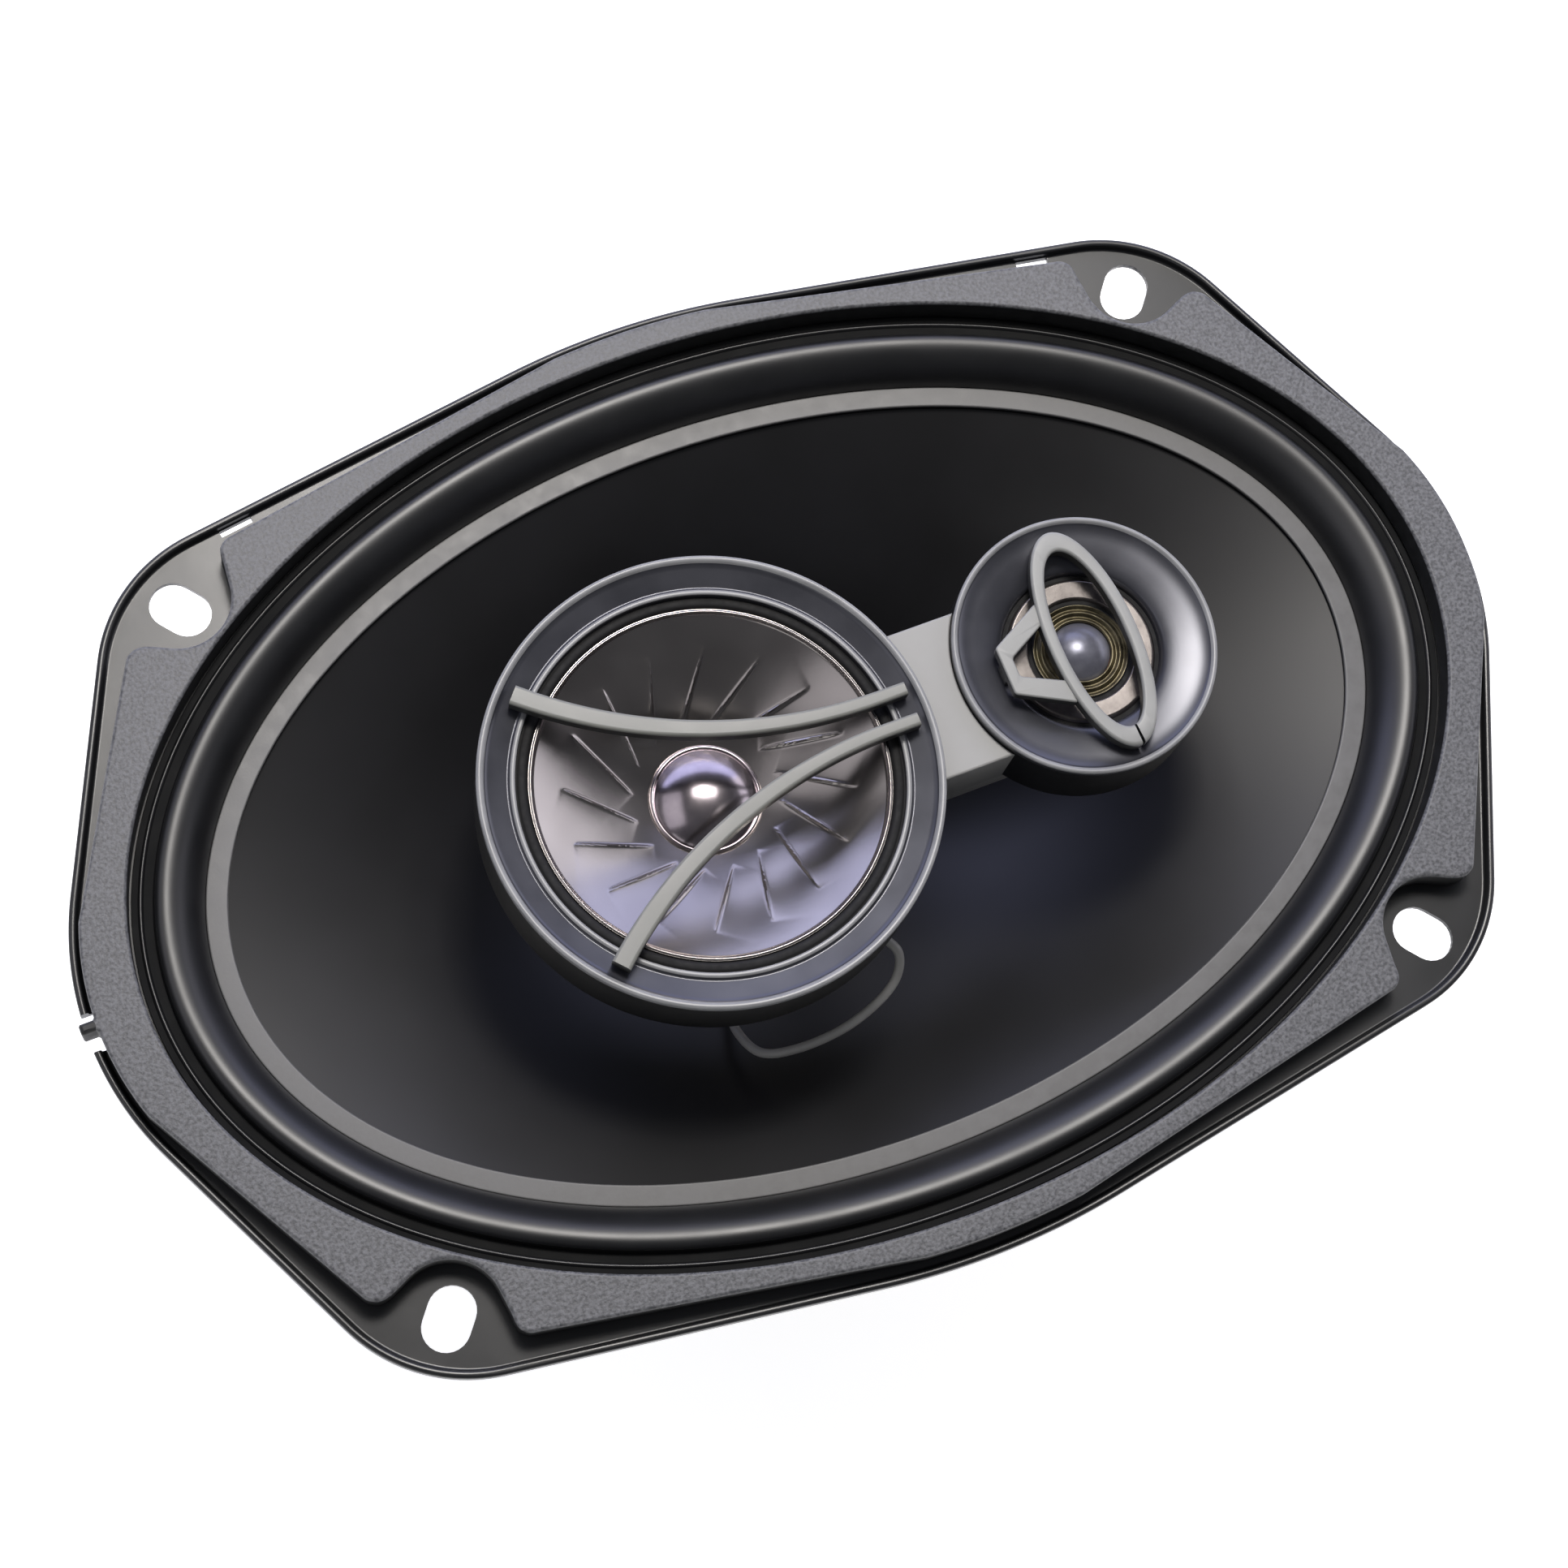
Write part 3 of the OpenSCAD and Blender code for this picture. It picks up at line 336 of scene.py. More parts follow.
studio = {
    "floorDepth": -76.3,
    "floorColour": "#f6f6f5",
    "floorGlow": 0.8,
    "worldColour": "#f4f6ff",
    "worldPower": 0.11,
    # name: place in mm, aimed at, size x and y in mm, watts, colour
    "lamps": {
        "key": ((125, 335, 884), (0, 0, 0), (180, 180), 4.4, "#fffaf5"),
        "overhead": ((135, 350, 884), (0, 0, 0), (540, 380), 3.3, "#fffcf8"),
        "coolSide": ((216, 867, 402), (0, 0, 0), (2000, 600), 7.8, "#cfd4ff"),
        "rightPanel": ((880, 60, 355), (0, 0, 0), (700, 420), 1.7, "#f6f4ff"),
        "leftPanel": ((-650, 175, 670), (0, 0, 0), (800, 480), 1.0, "#fbf8ff"),
        "lowLeft": ((-700, -500, 260), (0, 0, -20), (500, 400), 0.7, "#ffffff"),
    },
}
# the plain display curve keeps blacks deep and the paper white
bpy.context.scene.view_settings.view_transform = "Standard"

world = bpy.data.worlds.new("studio")
world.use_nodes = True
bpy.context.scene.world = world
worldTree = world.node_tree
worldTree.nodes.clear()
worldBack = addNode(worldTree, "ShaderNodeBackground",
                    {"Color": fromHex(studio["worldColour"]), "Strength": studio["worldPower"]})
addNode(worldTree, "ShaderNodeOutputWorld", links={"Surface": worldBack.outputs[0]})

for lampName, (place, aim, size, watts, colour) in studio["lamps"].items():
    lamp = bpy.data.lights.new(lampName, "AREA")
    lamp.shape = "RECTANGLE"
    lamp.size, lamp.size_y = size[0] * mm, size[1] * mm
    lamp.energy = watts
    lamp.color = fromHex(colour)[:3]
    lampObject = bpy.data.objects.new(lampName, lamp)
    lampObject.location = Vector(place) * mm
    lampObject.rotation_euler = (Vector(aim) - Vector(place)).to_track_quat("-Z", "Y").to_euler()
    bpy.context.scene.collection.objects.link(lampObject)


def floorPaper():
    # seamless studio paper lit from behind: matte, white, so the object's shadow stays soft
    material, tree = newMaterial("studioPaper")
    shader = addNode(tree, "ShaderNodeBsdfPrincipled",
                     {"Base Color": fromHex(studio["floorColour"]), "Roughness": 0.9, "Specular IOR Level": 0.2,
                      "Emission Color": (1, 1, 1, 1), "Emission Strength": studio["floorGlow"]})
    addNode(tree, "ShaderNodeOutputMaterial", links={"Surface": shader.outputs[0]})
    return material


floorSide = 6000
floorMesh = bpy.data.meshes.new("floor")
floorMesh.from_pydata([(x * floorSide * mm, y * floorSide * mm, studio["floorDepth"] * mm)
                       for x, y in ((-1, -1), (1, -1), (1, 1), (-1, 1))], [], [(0, 1, 2, 3)])
floorMesh.materials.append(floorPaper())
floorObject = bpy.data.objects.new("floor", floorMesh)
bpy.context.scene.collection.objects.link(floorObject)
print("studio ready")


# materials that several pieces share

def waveScale(sizeMm):
    # Blender's wave texture repeats every 0.314 / scale
    return 0.31416 * perMetre(sizeMm)


def grainedSurface(name, look):
    # a moulded, painted or cast surface: two close colours, uneven gloss and a fine grain; sizes in mm
    material, tree = newMaterial(name)
    place = addNode(tree, "ShaderNodeTexCoord").outputs["Object"]
    patches = addNode(tree, "ShaderNodeTexNoise",
                      {"Scale": perMetre(look["patch"]), "Detail": 3.0, "Roughness": 0.55},
                      {"Vector": place})
    colours = addNode(tree, "ShaderNodeValToRGB",
                      {"stops": [(0.35, fromHex(look["dark"])), (0.65, fromHex(look["light"]))]},
                      {"Fac": patches.outputs["Fac"]})
    gloss = addNode(tree, "ShaderNodeMapRange",
                    {"From Min": 0.3, "From Max": 0.7, "To Min": look["roughness"] - look["spread"],
                     "To Max": look["roughness"] + look["spread"]},
                    {"Value": patches.outputs["Fac"]})
    grain = addNode(tree, "ShaderNodeTexNoise",
                    {"Scale": perMetre(look["grain"]), "Detail": 2.0, "Roughness": 0.5}, {"Vector": place})
    bump = addNode(tree, "ShaderNodeBump", {"Strength": 1.0, "Distance": look["grainHigh"] * mm},
                   {"Height": grain.outputs["Fac"]})
    shader = addNode(tree, "ShaderNodeBsdfPrincipled",
                     {"Metallic": look.get("metallic", 0.0), **look.get("shader", {})},
                     {"Base Color": colours.outputs["Color"], "Roughness": gloss.outputs[0],
                      "Normal": bump.outputs["Normal"]})
    addNode(tree, "ShaderNodeOutputMaterial", links={"Surface": shader.outputs[0]})
    return material


def machinedMetal(name, look, centre=(0, 0)):
    # turned on a lathe, then plated: fine rings round the axis stretch its highlights; sizes in mm
    material, tree = newMaterial(name)
    place = addNode(tree, "ShaderNodeTexCoord").outputs["Object"]
    moved = addNode(tree, "ShaderNodeVectorMath",
                    {"operation": "SUBTRACT", 1: (centre[0] * mm, centre[1] * mm, 0)}, {0: place})
    rings = addNode(tree, "ShaderNodeTexWave",
                    {"wave_type": "RINGS", "rings_direction": "Z", "Scale": waveScale(look["ring"]),
                     "Distortion": 0.6, "Detail": 2.0}, {"Vector": moved.outputs[0]})
    stains = addNode(tree, "ShaderNodeTexNoise", {"Scale": perMetre(look["stain"]), "Detail": 4.0},
                     {"Vector": place})
    colours = addNode(tree, "ShaderNodeValToRGB",
                      {"stops": [(0.3, fromHex(look["dark"])), (0.7, fromHex(look["light"]))]},
                      {"Fac": stains.outputs["Fac"]})
    gloss = addNode(tree, "ShaderNodeMapRange",
                    {"To Min": look["roughness"] - 0.06, "To Max": look["roughness"] + 0.06},
                    {"Value": rings.outputs["Fac"]})
    bump = addNode(tree, "ShaderNodeBump", {"Strength": 1.0, "Distance": look["ringHigh"] * mm},
                   {"Height": rings.outputs["Fac"]})
    shader = addNode(tree, "ShaderNodeBsdfPrincipled", {"Metallic": 1.0},
                     {"Base Color": colours.outputs["Color"], "Roughness": gloss.outputs[0],
                      "Normal": bump.outputs["Normal"]})
    addNode(tree, "ShaderNodeOutputMaterial", links={"Surface": shader.outputs[0]})
    return material


# mild steel, stamped and coated by dipping: satin black, faint orange peel
paintedSteel = grainedSurface("dipCoatedSteel", {
    "dark": "#1b1c1e", "light": "#212224", "patch": 14, "roughness": 0.36, "spread": 0.04,
    "grain": 1.4, "grainHigh": 0.008, "shader": {"IOR": 1.5, "Coat Weight": 0.25, "Coat Roughness": 0.25}})

# EPDM rubber, moulded in a spark-eroded tool: mid grey with a pebbled grain
gasketRubber = grainedSurface("grainedEpdmRubber", {
    "dark": "#46474a", "light": "#707174", "patch": 0.55, "roughness": 0.5, "spread": 0.08,
    "grain": 0.55, "grainHigh": 0.06, "shader": {"IOR": 1.5}})

# butyl rubber, compression moulded: deep black with a soft broad shine
rollRubber = grainedSurface("mouldedButylRubber", {
    "dark": "#0c0d0f", "light": "#101113", "patch": 9, "roughness": 0.42, "spread": 0.03,
    "grain": 0.5, "grainHigh": 0.004, "shader": {"IOR": 1.6, "Coat Weight": 0.4, "Coat Roughness": 0.4}})

# the same rubber where the tool was sand blasted: flat black, hardly any shine
mattRubber = grainedSurface("blastedButylRubber", {
    "dark": "#08090a", "light": "#0c0d0e", "patch": 5, "roughness": 0.75, "spread": 0.05,
    "grain": 0.5, "grainHigh": 0.01, "shader": {"IOR": 1.5, "Specular IOR Level": 0.25}})

# EPDM rubber, smooth charcoal: painted shade for the gasket's side walls and nib, darker than the lit grained top
shadedWallRubber = grainedSurface("shadedSideEpdmRubber", {
    "dark": "#1b1c1d", "light": "#242526", "patch": 2, "roughness": 0.55, "spread": 0.06,
    "grain": 0.5, "grainHigh": 0.01, "shader": {"IOR": 1.5}})

# talc filled polypropylene, injection moulded against a satin tool: near black, silky
conePlastic = grainedSurface("mouldedPolypropylene", {
    "dark": "#0b0b0d", "light": "#0e0e11", "patch": 22, "roughness": 0.42, "spread": 0.015,
    "grain": 0.6, "grainHigh": 0.003, "shader": {"IOR": 1.55}})

# ABS, moulded with a fine etched texture: mid grey, flat
ringPlastic = grainedSurface("etchedGreyAbs", {
    "dark": "#616161", "light": "#6b6b6b", "patch": 3, "roughness": 0.47, "spread": 0.05,
    "grain": 0.35, "grainHigh": 0.008, "shader": {"IOR": 1.53}})

# ABS, moulded and left satin: light warm grey
bridgePlastic = grainedSurface("satinLightAbs", {
    "dark": "#969694", "light": "#9f9f9d", "patch": 12, "roughness": 0.5, "spread": 0.05,
    "grain": 0.5, "grainHigh": 0.008, "shader": {"IOR": 1.53}})

# ABS, moulded then sprayed satin: mid grey with a trace of green
guardPlastic = grainedSurface("sprayedGuardAbs", {
    "dark": "#777874", "light": "#83847f", "patch": 8, "roughness": 0.42, "spread": 0.05,
    "grain": 0.4, "grainHigh": 0.006, "shader": {"IOR": 1.53}})

# the same sprayed ABS, a lighter batch, on the tweeter's guard
paleGuardPlastic = grainedSurface("paleSprayedGuardAbs", {
    "dark": "#8a8b89", "light": "#959694", "patch": 8, "roughness": 0.42, "spread": 0.05,
    "grain": 0.4, "grainHigh": 0.006, "shader": {"IOR": 1.53}})

# dark grey ABS: painted shade on the guards' side walls, below their lit top faces
shadedSidePlastic = grainedSurface("shadedGuardSideAbs", {
    "dark": "#2b2c2b", "light": "#353635", "patch": 4, "roughness": 0.48, "spread": 0.05,
    "grain": 0.4, "grainHigh": 0.006, "shader": {"IOR": 1.53}})

# ABS, moulded satin: black shells of the two small drivers
shellPlastic = grainedSurface("satinBlackAbs", {
    "dark": "#111214", "light": "#17181a", "patch": 11, "roughness": 0.42, "spread": 0.04,
    "grain": 0.4, "grainHigh": 0.006, "shader": {"IOR": 1.53}})

# ABS, moulded then sprayed with graphite lacquer: charcoal dish that picks up soft reflections
dishPlastic = grainedSurface("sprayedGraphiteAbs", {
    "dark": "#42434a", "light": "#4b4c53", "metallic": 0.6, "patch": 9, "roughness": 0.34, "spread": 0.03,
    "grain": 0.5, "grainHigh": 0.003, "shader": {"IOR": 1.53, "Coat Weight": 0.5, "Coat Roughness": 0.3}})

# the same ABS, lighter grey on the raised beads: painted highlight along the beads
beadHighlightPlastic = grainedSurface("beadHighlightGreyAbs", {
    "dark": "#818284", "light": "#909193", "patch": 6, "roughness": 0.34, "spread": 0.04,
    "grain": 0.5, "grainHigh": 0.004, "shader": {"IOR": 1.53}})

# low carbon steel, turned and zinc plated: cool grey with fine lathe rings
zincSteel = machinedMetal("turnedZincSteel", {
    "dark": "#8f9296", "light": "#a7aaae", "roughness": 0.34, "ring": 0.6, "ringHigh": 0.01,
    "stain": 12})

# strontium ferrite, pressed and sintered: dark slate with pale specks
ferrite = grainedSurface("sinteredFerrite", {
    "dark": "#2a2b2e", "light": "#3a3b3f", "patch": 2.5, "roughness": 0.5, "spread": 0.1,
    "grain": 0.7, "grainHigh": 0.03, "shader": {"IOR": 2.2}})

# steel rivets and screws, bright zinc: pale and smooth from the heading die
brightSteel = grainedSurface("headedBrightSteel", {
    "dark": "#b4b6b8", "light": "#c6c8ca", "patch": 3, "roughness": 0.26, "spread": 0.06,
    "grain": 0.8, "grainHigh": 0.006, "metallic": 1.0})

# paper phenolic, punched: brown with darker fibres
phenolicBoard = grainedSurface("punchedPhenolic", {
    "dark": "#5d3a1c", "light": "#7d5530", "patch": 1.6, "roughness": 0.45, "spread": 0.08,
    "grain": 0.5, "grainHigh": 0.01, "shader": {"IOR": 1.6}})

# brass, hot dip tinned: pale gold under grey
tinnedBrass = grainedSurface("dippedTinBrass", {
    "dark": "#b8ac84", "light": "#d2c9a6", "patch": 4, "roughness": 0.28, "spread": 0.08,
    "grain": 1.2, "grainHigh": 0.01, "metallic": 1.0})

# soft PVC, extruded over the wire: light grey, slightly waxy
leadSleeve = grainedSurface("extrudedGreyPvc", {
    "dark": "#9a9a97", "light": "#a9a9a6", "patch": 6, "roughness": 0.42, "spread": 0.05,
    "grain": 0.6, "grainHigh": 0.006, "shader": {"IOR": 1.53}})

# copper foil wound on cotton, braided: dull pink brown, spun grain
tinselBraid = grainedSurface("braidedCopperTinsel", {
    "dark": "#7e5a38", "light": "#c08f62", "patch": 0.7, "roughness": 0.45, "spread": 0.1,
    "grain": 0.35, "grainHigh": 0.06, "metallic": 0.7})

# PET film, shrunk over the can: smooth blue black
shrinkSleeve = grainedSurface("shrunkPetSleeve", {
    "dark": "#1c1e26", "light": "#242733", "patch": 7, "roughness": 0.25, "spread": 0.05,
    "grain": 1.5, "grainHigh": 0.008, "shader": {"IOR": 1.57}})

# polyimide film, rolled into a tube: clear amber
amberFilm = grainedSurface("rolledPolyimide", {
    "dark": "#a8691c", "light": "#c5862c", "patch": 5, "roughness": 0.22, "spread": 0.05,
    "grain": 0.8, "grainHigh": 0.004, "shader": {"IOR": 1.7}})

# treated cloth, hot pressed: dull black edge of the midrange
clothEdge = grainedSurface("pressedBlackCloth", {
    "dark": "#08080a", "light": "#0d0d0f", "patch": 1.2, "roughness": 0.75, "spread": 0.06,
    "grain": 0.4, "grainHigh": 0.02, "shader": {"IOR": 1.5}})

# sintered neodymium, nickel plated: mirror grey
nickelMagnet = grainedSurface("nickelPlatedMagnet", {
    "dark": "#b9b8b4", "light": "#c9c8c4", "patch": 4, "roughness": 0.2, "spread": 0.04,
    "grain": 0.9, "grainHigh": 0.004, "metallic": 1.0})


def woundCopper():
    # enamelled copper wire, wound in one layer: red brown ridges one wire apart
    look = {"dark": "#7a3212", "light": "#b8622c", "wire": 0.3}
    material, tree = newMaterial("woundEnamelledCopper")
    place = addNode(tree, "ShaderNodeTexCoord").outputs["Object"]
    turns = addNode(tree, "ShaderNodeTexWave",
                    {"wave_type": "BANDS", "bands_direction": "Z", "Scale": waveScale(look["wire"])},
                    {"Vector": place})
    colours = addNode(tree, "ShaderNodeValToRGB",
                      {"stops": [(0.1, fromHex(look["dark"])), (0.7, fromHex(look["light"]))]},
                      {"Fac": turns.outputs["Fac"]})
    bump = addNode(tree, "ShaderNodeBump", {"Strength": 1.0, "Distance": 0.1 * mm},
                   {"Height": turns.outputs["Fac"]})
    shader = addNode(tree, "ShaderNodeBsdfPrincipled",
                     {"Metallic": 0.9, "Roughness": 0.3, "Coat Weight": 0.6, "Coat Roughness": 0.15},
                     {"Base Color": colours.outputs["Color"], "Normal": bump.outputs["Normal"]})
    addNode(tree, "ShaderNodeOutputMaterial", links={"Surface": shader.outputs[0]})
    return material


copperWire = woundCopper()


def treatedCotton():
    # cotton cloth dipped in phenolic resin and hot pressed: honey yellow, plain weave
    look = {"thread": 0.9, "dark": "#7c5716", "light": "#c8983c"}
    material, tree = newMaterial("resinPressedCotton")
    place = addNode(tree, "ShaderNodeTexCoord").outputs["Object"]
    threads = [addNode(tree, "ShaderNodeTexWave",
                       {"wave_type": "BANDS", "bands_direction": way, "Scale": waveScale(look["thread"]),
                        "Distortion": 0.8, "Detail": 1.0}, {"Vector": place}) for way in ("X", "Y")]
    weave = addNode(tree, "ShaderNodeMath", {"operation": "MULTIPLY"},
                    {0: threads[0].outputs["Fac"], 1: threads[1].outputs["Fac"]})
    colours = addNode(tree, "ShaderNodeValToRGB",
                      {"stops": [(0.05, fromHex(look["dark"])), (0.5, fromHex(look["light"]))]},
                      {"Fac": weave.outputs[0]})
    bump = addNode(tree, "ShaderNodeBump", {"Strength": 1.0, "Distance": 0.12 * mm}, {"Height": weave.outputs[0]})
    shader = addNode(tree, "ShaderNodeBsdfPrincipled", {"Roughness": 0.55, "IOR": 1.55},
                     {"Base Color": colours.outputs["Color"], "Normal": bump.outputs["Normal"]})
    addNode(tree, "ShaderNodeOutputMaterial", links={"Surface": shader.outputs[0]})
    return material


spiderCloth = treatedCotton()
print("shared materials ready")


# basket: flange with its rolled lip and slots, then wall, spokes, ledge and cup

oval = {"openA": 108.0, "openB": 73.7}
flange = {"halfLength": 117.5, "halfWidth": 80.5, "endR": 50.0, "earR": 26.0, "sideR": 128.0,
          "endAngle": 25.0, "sideAngle": 81.0, "slotX": 82.3, "slotY": 59.0, "slotWide": 7.4,
          "slotLong": 10.1, "slotTurn": 51.0,
          "thick": 1.0, "lipTop": 2.5, "lipWide": 1.2, "openIn": 5.2, "wallT": 1.2,
          "clipX": 69.6, "clipLong": 5.5, "clipWide": 1.0, "notchWide": 6.0, "notchDeep": 2.5}


def cornerCentre():
    # centre of the ear arcs, tangent to the end and side arcs
    f = flange
    e, s = math.radians(f["endAngle"]), math.radians(f["sideAngle"])
    endReach = (f["halfLength"] - f["endR"]) * math.cos(e) + f["endR"] - f["earR"]
    sideReach = (f["halfWidth"] - f["sideR"]) * math.sin(s) + f["sideR"] - f["earR"]
    spread = math.sin(s - e)
    return ((endReach * math.sin(s) - sideReach * math.sin(e)) / spread,
            (sideReach * math.cos(e) - endReach * math.cos(s)) / spread)


def outlineContour(endIn, earIn, sideIn, ease=0.0, dense=1):
    # the flange's outline set in by three distances, round from +X
    f = flange
    ear = cornerCentre()
    quarter = (arcPoints(f["halfLength"] - f["endR"], 0, f["endR"] - endIn, 0, f["endAngle"] - ease, 24 * dense)
               + arcPoints(ear[0], ear[1], f["earR"] - earIn, f["endAngle"] + ease,
                           f["sideAngle"] - ease / 2, 30 * dense)
               + arcPoints(0, f["halfWidth"] - f["sideR"], f["sideR"] - sideIn, f["sideAngle"] + ease / 2, 90,
                           16 * dense))
    q = np.array(quarter)
    return np.concatenate([q, (q * [-1, 1])[::-1][1:], (q * [-1, -1])[1:], (q * [1, -1])[::-1][1:-1]])


polarAngles = np.arange(720) * tau / 720


def outlineRing(inset):
    # the outline at equal polar angles, so that it pairs with the oval opening
    contour = outlineContour(inset, inset, inset)
    ends = np.roll(contour, -1, axis=0)
    contour = np.stack([contour + (ends - contour) * k / 40 for k in range(40)], 1).reshape(-1, 2)
    turn = np.unwrap(np.arctan2(contour[:, 1], contour[:, 0]))
    reach = np.hypot(contour[:, 0], contour[:, 1])
    r = np.interp(polarAngles, turn, reach, period=tau)
    return np.column_stack([r * np.cos(polarAngles), r * np.sin(polarAngles)])


def openingRing(inset):
    a, b = oval["openA"] - inset, oval["openB"] - inset
    r = a * b / np.hypot(b * np.cos(polarAngles), a * np.sin(polarAngles))
    return np.column_stack([r * np.cos(polarAngles), r * np.sin(polarAngles)])


def prismShape(contour, low, high):
    ring = np.array(contour)
    rings = [np.column_stack([ring, np.full(len(ring), z)]) for z in (low, high)]
    points, faces = joinRings(rings, False)
    n = len(ring)
    return points, faces + [tuple(range(n)), tuple(range(2 * n - 1, n - 1, -1))]


def slotContour(x, y, long, wide, turn, steps=14):
    reach = (long - wide) / 2
    ends = arcPoints(reach, 0, wide / 2, -90, 90, steps) + arcPoints(-reach, 0, wide / 2, 90, 270, steps)
    c, s = math.cos(turn), math.sin(turn)
    return [(x + c * px - s * py, y + s * px + c * py) for px, py in ends]


def boxContour(x, y, long, wide, turn=0.0):
    c, s = math.cos(turn), math.sin(turn)
    corners = [(long / 2 * i, wide / 2 * j) for i, j in ((-1, -1), (1, -1), (1, 1), (-1, 1))]
    return [(x + c * px - s * py, y + s * px + c * py) for px, py in corners]


def buildFlange():
    f = flange
    steps = [(0, 0.0, 0.0, 0.4), (0, 0.0, f["lipTop"], 0.6), (0, f["lipWide"], f["lipTop"], 0.55),
             (0, f["lipWide"] + 0.1, f["thick"], 0.5), (1, f["openIn"], f["thick"], 1.1),
             (1, f["openIn"], -9.0, 0.2), (1, f["openIn"] - f["wallT"], -9.0, 0.2),
             (1, f["openIn"] - f["wallT"], 0.0, 0.5)]
    rings = [np.column_stack([(outlineRing if kind == 0 else openingRing)(inset), np.full(720, z)])
             for kind, inset, z, _ in steps]
    shape = joinRings(roundRings(rings, [s[3] for s in steps], True), True)
    piece = addPiece("basket_flange", shape, paintedSteel, weighted=False)
    slotTurn = math.radians(f["slotTurn"])
    cutters = [prismShape(slotContour(sx * f["slotX"], sy * f["slotY"], f["slotLong"], f["slotWide"],
                                      sx * sy * slotTurn), -3, 6) for sx in (1, -1) for sy in (1, -1)]
    tilt = math.radians(90 - f["sideAngle"])
    inset = f["lipWide"] + f["clipWide"] / 2 + 0.3
    s = math.radians(f["sideAngle"])
    reach = (f["halfWidth"] - f["sideR"]) * math.sin(s) + f["sideR"] - inset
    clipY = (reach - f["clipX"] * math.cos(s)) / math.sin(s)
    cutters += [prismShape(boxContour(side * f["clipX"], clipY, f["clipLong"], f["clipWide"], -side * tilt), -3, 6)
                for side in (1, -1)]
    cutters.append(prismShape(boxContour(-f["halfLength"], 0, 2 * f["notchDeep"], f["notchWide"]), -3, 6))
    cutter = addPiece("cutter", mergeMeshes(*cutters), paintedSteel, weighted=False)
    cut = piece.modifiers.new("cut", "BOOLEAN")
    cut.operation, cut.solver, cut.object = "DIFFERENCE", "EXACT", cutter
    applyModifiers(piece)
    bpy.data.objects.remove(cutter)
    soften = piece.modifiers.new("soften", "BEVEL")
    soften.width, soften.segments, soften.limit_method = 0.16 * mm, 2, "ANGLE"
    soften.angle_limit = math.radians(50)
    applyModifiers(piece)
    smoothFaces(piece, 40)
    piece.modifiers.new("weighted", "WEIGHTED_NORMAL").keep_sharp = True
    return piece


flangePiece = placePiece(buildFlange(), "frame", ["basket"])

body = {"spokes": [0, 50, 130, 180, 230, 310], "halfWide": 9.0, "flare": 6.0, "windowTop": -10.0,
        "windowLow": -42.6, "sheetT": 1.0, "ribHigh": 1.1, "ribWide": 3.4, "curl": 1.2, "footR": 53.4,
        "ledgeZ": -44.6, "cupR": 44.6, "cupZ": -51.4, "holeR": 28.0}


